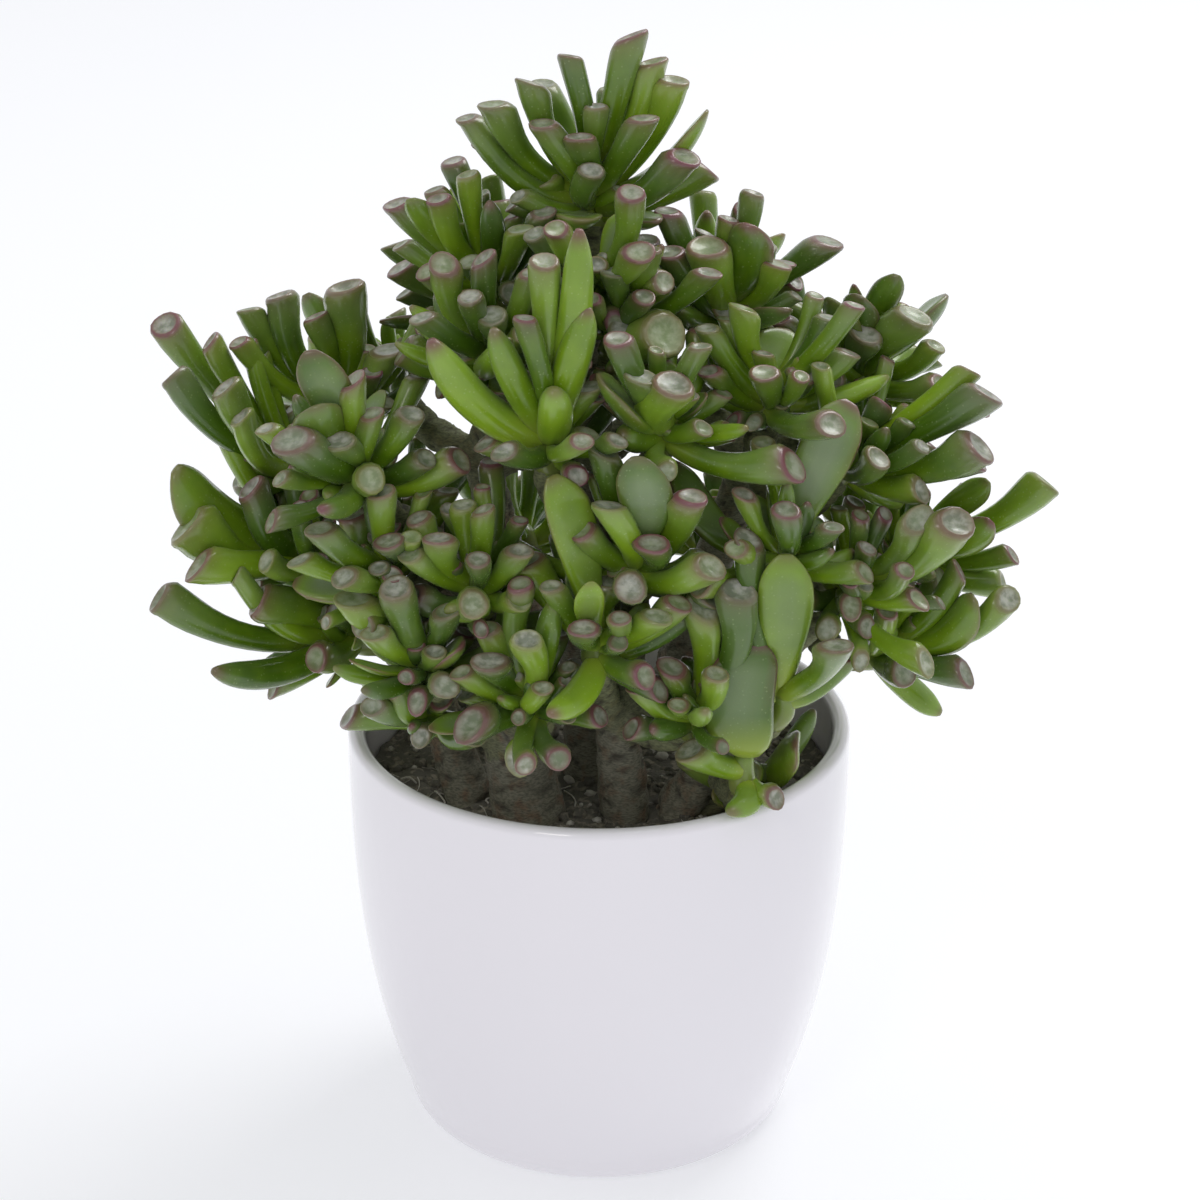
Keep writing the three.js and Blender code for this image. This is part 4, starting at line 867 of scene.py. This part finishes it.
def leafGrids(kind, leaves, s):
    # rings of points about each leaf's curve: side times half breadth times the cosine and face times half
    # depth times the sine of the angle, less the oblique cut, which shortens the upper side of an open end
    rows, count, isOpen = kindRows(kind, s), len(leaves), kind in openKinds
    gather = lambda key: np.array([leaf[key] for leaf in leaves], float)
    foot, middle, tip, side, way = (gather(key)[:, None] for key in ("foot", "middle", "tip", "side", "way"))
    breadth = gather("breadth")[:, None, None]
    spread = lambda pair: rng.uniform(*pair, (count, 1, 1))
    t = rows["t"][None, :, None]
    sway = side * breadth * rng.uniform(-s["sway"], s["sway"], (count, 1, 1)) * np.sin(np.pi * t)
    centre = onCurve(foot, middle, tip, t) + sway
    tangent = unitOf(2 * (1 - t) * (middle - foot) + 2 * t * (tip - middle))
    across = unitOf(side - tangent * (side * tangent).sum(-1, keepdims=True))
    up = np.cross(tangent, across)
    angle = np.linspace(0, 2 * math.pi, s["columns"], endpoint=False)[None, None]
    phase = rng.uniform(0, 2 * math.pi, (count, 1, 1))
    wave = 1 + s["oval"] * np.cos(2 * angle + phase) * t[:, :, :1]
    wave = wave + 0.4 * s["oval"] * np.cos(3 * angle - 2 * phase)
    flare = 1 + (spread(s["flare"]) if isOpen else 0) * smoothStep(0.45, 1, t)
    half, deep = (rows[key][None, :, None] * breadth * wave * flare for key in ("half", "deep"))
    out = deep * np.sin(angle)
    curl = leafKinds[kind]["curl"] * breadth * (2 * half / breadth * np.cos(angle)) ** 2
    lip, cup, slip = (rows[key][None, :, None] for key in ("lip", "cup", "slip"))
    lift = breadth * (lip * spread(s["lipThick"]) + cup * spread(s["cupDepth"]))
    lift = lift - slip * out * spread(s["cutSlope"])
    points = (centre[:, :, None] + across[:, :, None] * (half * np.cos(angle))[..., None]
              + up[:, :, None] * (out + curl)[..., None] + way[:, :, None] * lift[..., None])
    tips = points[:, -1].mean(axis=1)
    if not isOpen:
        tips = tips * 0.2 + centre[:, -1] * 0.8 + tangent[:, -1] * breadth[:, 0] * 0.01
    feet = points[:, 0].mean(axis=1) - tangent[:, 0] * breadth[:, 0] * 0.02
    ring = np.broadcast_to(angle, (count, len(rows["t"]), s["columns"]))
    flat = kind in flatKinds
    margin = smoothStep(0.84, 1, np.abs(np.cos(ring))) * smoothStep(0.35, 0.8, t) * (0.95 if flat else 0)
    # the outer third carries the grey bloom; the upper face carries the same grey, most on the flat kinds, as
    # bloom together with a painted sheen of the light that falls on it from above
    inner = smoothStep(0.98, 0.35, np.abs(np.cos(ring)))
    inner = inner * smoothStep(0.12, 0.5, t) * smoothStep(1.0, 0.75, t)
    bloom = smoothStep(-0.1, 0.6, np.sin(ring)) * inner * (0.75 if flat else 0.25)
    bloom = np.maximum(bloom, 0.25 * smoothStep(0.6, 1.0, t) * np.ones_like(ring)) * spread((0.3, 1.15))
    onAll = lambda values: np.broadcast_to(values, ring.shape)
    upLeaf = lambda values: onAll(values[None, :, None])
    marks = {
        "along": upLeaf(rows["t"]), "blush": np.maximum(upLeaf(rows["blush"]), margin) * spread((0.35, 1)),
        "bloom": bloom, "cup": upLeaf(rows["hollow"]) * spread((0.5, 1)), "tone": onAll(spread((-0.5, 0.6))),
        "stalk": onAll(np.float64(kind == "stalk") * (1 - 0.8 * t)),
    }
    # the two points that close a leaf have the marks of the rings beside them
    ends = lambda grid: np.concatenate([grid.reshape(count, -1), grid[:, :1, 0], grid[:, -1:, 0]], axis=1)
    body, faces = closedGrids(points, feet, tips)
    return body, faces, {name: ends(grid).ravel() for name, grid in marks.items()}


# Young leaves: lean, length and breadth are each (that of the innermost, more for each one further out)
youngSet = {
    "count": 5, "kinds": ("trumpet", "finger"), "lean": (10, 9), "length": (9, 2.2), "breadth": (3.6, 0.5),
    "aboveRim": 4, "fromWall": 3, "fromFlat": 2, "broad": 11,
}
leafCurve = lambda leaf, t: onCurve(leaf["foot"], leaf["middle"], leaf["tip"], t)
flatLines = [(leafCurve(leaf, np.linspace(0.15, 1, 9)[:, None]), leaf["breadth"] / 2)
             for shoot in shoots for leaf in shoot["leaves"]
             if leaf["kind"] in flatKinds and leaf["breadth"] > youngSet["broad"]]


def isClear(leaf, s):
    # clear of every broad flat leaf, and of the pot's wall
    line = leafCurve(leaf, np.array([[0.6], [0.8], [1.0]]))
    inWall = np.hypot(*leaf["tip"][:2]) >= rimRadius - potSet["wall"] - s["fromWall"]
    if inWall and leaf["tip"][2] <= potHeight + s["aboveRim"]:
        return False
    return all(np.linalg.norm(line[:, None] - flat[None], axis=-1).min() > half + s["fromFlat"]
               for flat, half in flatLines)


def youngLeaves(shoot, s):
    # a tuft of small upright leaves at the growing tip, between the grown ones
    turns = rng.uniform(0, 360) + plantSet["goldenTurn"] * np.arange(s["count"])
    young = []
    for i, turn in enumerate(turns):
        lean, length, breadth = (s[key][0] + s[key][1] * i for key in ("lean", "length", "breadth"))
        way = carried(turn, lean, shoot["heading"])
        young.append(leafLines(shoot, s["kinds"][i % 2], *way, length, breadth))
    return [leaf for leaf in young if isClear(leaf, s)]


def makeShoot(shoot, s):
    # the stalk is one more leaf-like grid, and each kind's leaves are worked out together
    heading = shoot["heading"]
    low, high = shoot["foot"] - heading * 1.5, shoot["foot"] + heading * plantSet["stalkLength"]
    side = unitOf(np.cross([1.0, 0.0, 0.0] if abs(heading[1]) > 0.8 else [0.0, 1.0, 0.0], heading))
    stalk = {"kind": "stalk", "way": heading, "foot": low, "middle": (low + high) / 2, "tip": high,
             "side": side, "breadth": 2 * plantSet["stalkRadius"]}
    leaves = shoot["leaves"] + youngLeaves(shoot, youngSet) + [stalk]
    byKind = {kind: [leaf for leaf in leaves if leaf["kind"] == kind] for kind in leafKinds}
    grids = [leafGrids(kind, ofKind, s) for kind, ofKind in byKind.items() if ofKind]
    points, faces = joined([grid[:2] for grid in grids])
    marks = {mark: np.concatenate([grid[2][mark] for grid in grids]) for mark in grids[0][2]}
    name = shoot["name"].replace("shoot_", "leaves_")
    return putMesh(name, points, faces, leafSkin, shoot["name"], marks)


for shoot in shoots:
    makeShoot(shoot, leafSet)
print("leaves made")

# Stems: every limb is a tube along its curve; a stem's tubes are fused, then knobbed and ringed
stemSet = {
    "columns": 20, "rows": 16, "fuse": 1.2, "ringSpacing": 5.0, "ringDepth": 0.7, "ringWidth": 0.8,
    "scarDark": 0.9, "wander": 3.2, "wanderWidth": 7.0, "breakWidth": 4.5, "lumpWidth": 9.0, "lump": 0.7,
    "grainWidth": 2.2, "grain": 0.28, "young": 0.75, "youngRadius": (6.5, 4.3),
}


def limbTube(limb, s):
    # rings of the tapered radius about the limb's quadratic curve, closed at both ends by a dome point
    t = np.linspace(0, 1, s["rows"])[:, None]
    centre = onCurve(limb["from"], limb["bend"], limb["to"], t)
    tangent = unitOf((1 - t) * (limb["bend"] - limb["from"]) + t * (limb["to"] - limb["bend"]))
    steady = np.array([1.0, 0, 0]) if abs((limb["to"] - limb["from"])[1]) > 20 else np.array([0, 1.0, 0])
    side = unitOf(np.cross(steady, tangent))
    up = np.cross(tangent, side)
    angle = np.linspace(0, 2 * math.pi, s["columns"], endpoint=False)
    radius = (limb["start"] + (limb["end"] - limb["start"]) * t)[:, :, None]
    around = side[:, None] * np.cos(angle)[None, :, None] + up[:, None] * np.sin(angle)[None, :, None]
    points = centre[:, None] + around * radius
    feet = centre[:1] - tangent[:1] * limb["start"] * 0.5
    tips = centre[-1:] + tangent[-1:] * limb["end"] * 0.3
    return closedGrids(points[None], feet, tips)


def fuse(points, faces, voxel):
    # one skin over overlapping tubes, by a voxel remesh whose result is read back as plain points and faces
    mesh = bpy.data.meshes.new("fusing")
    mesh.from_pydata((points * mm).tolist(), [], faces)
    piece = bpy.data.objects.new("fusing", mesh)
    bpy.context.collection.objects.link(piece)
    remesh = piece.modifiers.new("remesh", "REMESH")
    remesh.mode, remesh.voxel_size = "VOXEL", voxel * mm
    skin = piece.evaluated_get(bpy.context.evaluated_depsgraph_get()).to_mesh()
    found = np.zeros(len(skin.vertices) * 3, np.float32)
    skin.vertices.foreach_get("co", found)
    corners = [list(polygon.vertices) for polygon in skin.polygons]
    bpy.data.objects.remove(piece)
    bpy.data.meshes.remove(mesh)
    return found.reshape(-1, 3).astype(float) / mm, corners


def makeStem(stem, s):
    own = [limb for limb in limbs if limb["stem"] == stem]
    skin, faces = fuse(*joined([limbTube(limb, s) for limb in own]), s["fuse"])
    # the nearest place on the limbs' curves tells each point how far up its limb it is and which way is out
    t = np.linspace(0, 1, 25)[:, None]
    lines = [onCurve(limb["from"], limb["bend"], limb["to"], t) for limb in own]
    places = np.concatenate(lines)
    stepsOf = lambda line: np.linalg.norm(np.diff(line, axis=0), axis=1)
    runs = np.concatenate([np.append(0, np.cumsum(stepsOf(line))) for line in lines])
    radii = np.concatenate([limb["start"] + (limb["end"] - limb["start"]) * t[:, 0] for limb in own])
    nearestTo = lambda block: ((block[:, None] - places[None]) ** 2).sum(-1).argmin(axis=1)
    blocks = np.array_split(skin, max(1, len(skin) // 4000))  # in blocks, to keep the arrays small
    nearest = np.concatenate([nearestTo(block) for block in blocks])
    out = unitOf(skin - places[nearest])
    turn = np.arctan2(out[:, 1], out[:, 0])
    ways = unitOf(np.gradient(places, axis=0))
    run = runs[nearest] + ((skin - places[nearest]) * ways[nearest]).sum(-1)
    # the ring scars wander, and each is broken off at random round the stem
    wander = latticeNoise(turn * 8, run, s["wanderWidth"], 5) * s["wander"]
    broken = smoothStep(-0.25, 0.45, latticeNoise(turn * 6, run, s["breakWidth"], 6))
    fromRing = (run + wander) % s["ringSpacing"] - s["ringSpacing"] / 2
    scar = broken * np.exp(-(fromRing / s["ringWidth"]) ** 2)
    lumps = s["lump"] * latticeNoise(skin[:, 2] + skin[:, 0], turn * 8, s["lumpWidth"], 3)
    grain = s["grain"] * latticeNoise(skin[:, 2] * 2, turn * 9 + skin[:, 0], s["grainWidth"], 4)
    skin = skin + out * (lumps + grain - s["ringDepth"] * scar)[:, None]
    young = s["young"] * smoothStep(*s["youngRadius"], radii[nearest])
    marks = {"scar": s["scarDark"] * scar, "young": young}
    return putMesh(stem.replace("stem_", "wood_"), skin, faces, bark, stem, marks)


for stem in stemJoints:
    makeStem(stem, stemSet)
print("stems made")

# Soil: a mounded bed, with crumbs of bark and pale fibres on it
soilSet = {
    "rings": 60, "spokes": 160, "wallRings": 12, "crown": 3.0, "inset": 0.6, "sink": 1.5,
    "rough": (1.5, 0.8, 0.45), "roughWidth": (7.0, 3.0, 1.3),
    "crumbs": 700, "crumbSize": (0.6, 2.3), "crumbInset": 2.5, "paleCrumbs": 0.2,
    "fibres": 80, "fibreInset": 3.0, "fibreLength": (3, 9), "fibreRadius": (0.14, 0.3), "fibreLift": 0.7,
}


def soilEdge(height, s):
    # the soil's radius, a little clear of the pot's wall
    return sideRadius(height, potSet) - potSet["wall"] - s["inset"]


def soilHeight(x, y, s):
    # crowned in the middle, with three sizes of random lumps
    fromAxis = np.hypot(x, y) / (sideRadius(soilTop, potSet) - potSet["wall"])
    height = soilTop - s["sink"] + s["crown"] * (1 - fromAxis ** 2)
    for seed, (size, width) in enumerate(zip(s["rough"], s["roughWidth"])):
        height = height + size * latticeNoise(x + 200, y + 200, width, 21 + seed)
    return height


def scattered(count, reach):
    # random places, as many to each patch of the bed
    radius, turn = reach * np.sqrt(rng.uniform(0, 1, count)), rng.uniform(0, 2 * math.pi, count)
    return radius * np.cos(turn), radius * np.sin(turn)


def soilBed(s):
    # a polar grid: up the wall first, then in over the bed to the middle
    low = potSet["floor"] + 0.6
    heights = np.linspace(low + 5, soilTop - 4, s["wallRings"])
    angle = np.linspace(0, 2 * math.pi, s["spokes"], endpoint=False)
    wall = [(soilEdge(low, s) - 6, low), (soilEdge(low + 5, s), low + 5)]
    wall += [(soilEdge(h, s), h) for h in heights[1:]]
    rings = [np.stack([r * np.cos(angle), r * np.sin(angle), np.full(len(angle), h)], -1) for r, h in wall]
    for r in soilEdge(soilTop, s) * np.linspace(0.995, 0.02, s["rings"]):
        x, y = r * np.cos(angle), r * np.sin(angle)
        rings.append(np.stack([x, y, soilHeight(x, y, s)], -1))
    top = float(soilHeight(np.zeros(1), np.zeros(1), s)[0])
    body, faces = closedGrids(np.array(rings)[None], np.array([[0.0, 0.0, low]]), np.array([[0.0, 0.0, top]]))
    return body, faces, np.zeros(len(body))


def soilCrumbs(s):
    # six-sided lumps of random size, squashed and turned at random, half sunk in the bed
    count = s["crumbs"]
    x, y = scattered(count, soilEdge(soilTop, s) - s["crumbInset"])
    smallest, largest = s["crumbSize"]
    size = smallest + (largest - smallest) * rng.uniform(0, 1, count) ** 2
    spin = rng.uniform(0, math.pi, (count, 1, 1))
    around = np.linspace(0, 2 * math.pi, 6, endpoint=False)[None, None] + spin
    tilt = np.array([-0.6, 0.1, 0.7])[None, :, None]
    lump = size[:, None, None] * np.sqrt(1 - tilt ** 2) * rng.uniform(0.7, 1.25, (count, 3, 6))
    stretch = rng.uniform(0.7, 1.5, (count, 1, 1))
    squash = rng.uniform(0.5, 0.95, (count, 1, 1))
    centre = np.stack([x, y, soilHeight(x, y, s) + 0.15 * size], -1)
    out = np.stack([lump * np.cos(around) * stretch, lump * np.sin(around),
                    size[:, None, None] * tilt * squash + 0 * lump], -1)
    up = np.array([0, 0, 1.0]) * (size * 0.8)[:, None]
    body, faces = closedGrids(centre[:, None, None] + out, centre - up, centre + up)
    pale = (rng.uniform(0, 1, count) > 1 - s["paleCrumbs"]) * 0.6
    return body, faces, np.repeat(pale, len(body) // count)


def soilFibres(s):
    # thin bent tubes that lie on the bed: each a straight run with a parabola across it
    count, reach = s["fibres"], soilEdge(soilTop, s) - s["crumbInset"]
    x, y = scattered(count, reach - s["fibreInset"])
    way = rng.uniform(0, 2 * math.pi, count)
    length, bow = rng.uniform(*s["fibreLength"], count), rng.uniform(-0.25, 0.25, count)
    along = np.linspace(-0.5, 0.5, 7)
    cosine, sine = np.cos(way), np.sin(way)
    x = x[:, None] + length[:, None] * (along * cosine[:, None] - along ** 2 * (bow * 4 * sine)[:, None])
    y = y[:, None] + length[:, None] * (along * sine[:, None] + along ** 2 * (bow * 4 * cosine)[:, None])
    inside = np.minimum(1, reach / np.maximum(np.hypot(x, y), 1e-6))
    x, y = x * inside, y * inside
    line = np.stack([x, y, soilHeight(x, y, s) + s["fibreLift"]], -1)
    run = unitOf(np.gradient(line, axis=1))
    side = unitOf(np.cross(run, [0.0, 0.0, 1.0]))
    above = np.cross(side, run)
    thick = rng.uniform(*s["fibreRadius"], (count, 1, 1, 1))
    ring = np.linspace(0, 2 * math.pi, 5, endpoint=False)[None, None, :, None]
    points = line[:, :, None] - thick * (side[:, :, None] * np.cos(ring) - above[:, :, None] * np.sin(ring))
    body, faces = closedGrids(points, line[:, 0] - run[:, 0] * 0.1, line[:, -1] + run[:, -1] * 0.1)
    return body, faces, np.repeat(rng.uniform(0.2, 0.95, count), len(body) // count)


def makeSoil(s):
    parts = [make(s) for make in (soilBed, soilCrumbs, soilFibres)]
    points, faces = joined([part[:2] for part in parts])
    pale = np.concatenate([part[2] for part in parts])
    return putMesh("pottingSoil", points, faces, mix, "soil", {"pale": pale})


makeSoil(soilSet)
print("soil made")

# Studio: a wide pale floor, a bright room all round, a big soft window behind on the right, a fill in front
# and a soft light above
studioSet = {
    "floor": "#C0C1C3", "floorRoughness": 0.35, "glow": "#F2F3F5", "floorGlow": 0.46, "floorSize": 16.0,
    "room": "#F7F8FC", "roomStrength": 0.7, "aim": (0, 0, 0.15),
}
lightSet = {
    "window": {"at": (0.8, 0.9, 1.5), "size": 0.9, "power": 15.0, "colour": "#FFFFFF"},
    "fill": {"at": (-0.6, -1.5, 1.5), "size": 0.5, "power": 4.0, "colour": "#FFFAF4"},
    "top": {"at": (0.1, 0.2, 2.0), "size": 1.2, "power": 4.0, "colour": "#FFFFFF"},
}


def makeStudio(s, lights):
    material, tree = newMaterial("paleFloor")
    finishMaterial(tree, {"Base Color": linear(s["floor"]), "Roughness": s["floorRoughness"],
                          "Emission Color": linear(s["glow"]), "Emission Strength": s["floorGlow"]}, {})
    half = s["floorSize"] / 2
    mesh = bpy.data.meshes.new("floor")
    corners = [(-half, -half, 0), (half, -half, 0), (half, half, 0), (-half, half, 0)]
    mesh.from_pydata(corners, [], [(0, 1, 2, 3)])
    mesh.materials.append(material)
    floor = bpy.data.objects.new("floor", mesh)
    bpy.context.collection.objects.link(floor)
    floor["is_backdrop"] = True
    world = bpy.data.worlds.new("room")
    world.use_nodes = True
    background = world.node_tree.nodes["Background"]
    background.inputs["Color"].default_value = linear(s["room"])
    background.inputs["Strength"].default_value = s["roomStrength"]
    bpy.context.scene.world = world
    bpy.context.scene.view_settings.view_transform = "Standard"
    for name, light in lights.items():
        data = bpy.data.lights.new(name, "AREA")
        data.size, data.energy = light["size"], light["power"]
        data.color = linear(light["colour"])[:3]
        lamp = bpy.data.objects.new(name, data)
        lamp.location = light["at"]
        lamp.rotation_euler = (Vector(s["aim"]) - lamp.location).to_track_quat("-Z", "Y").to_euler()
        bpy.context.collection.objects.link(lamp)


makeStudio(studioSet, lightSet)
print("studio set")

{"cad": cadBox, "visual": [list(corner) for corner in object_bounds()]}
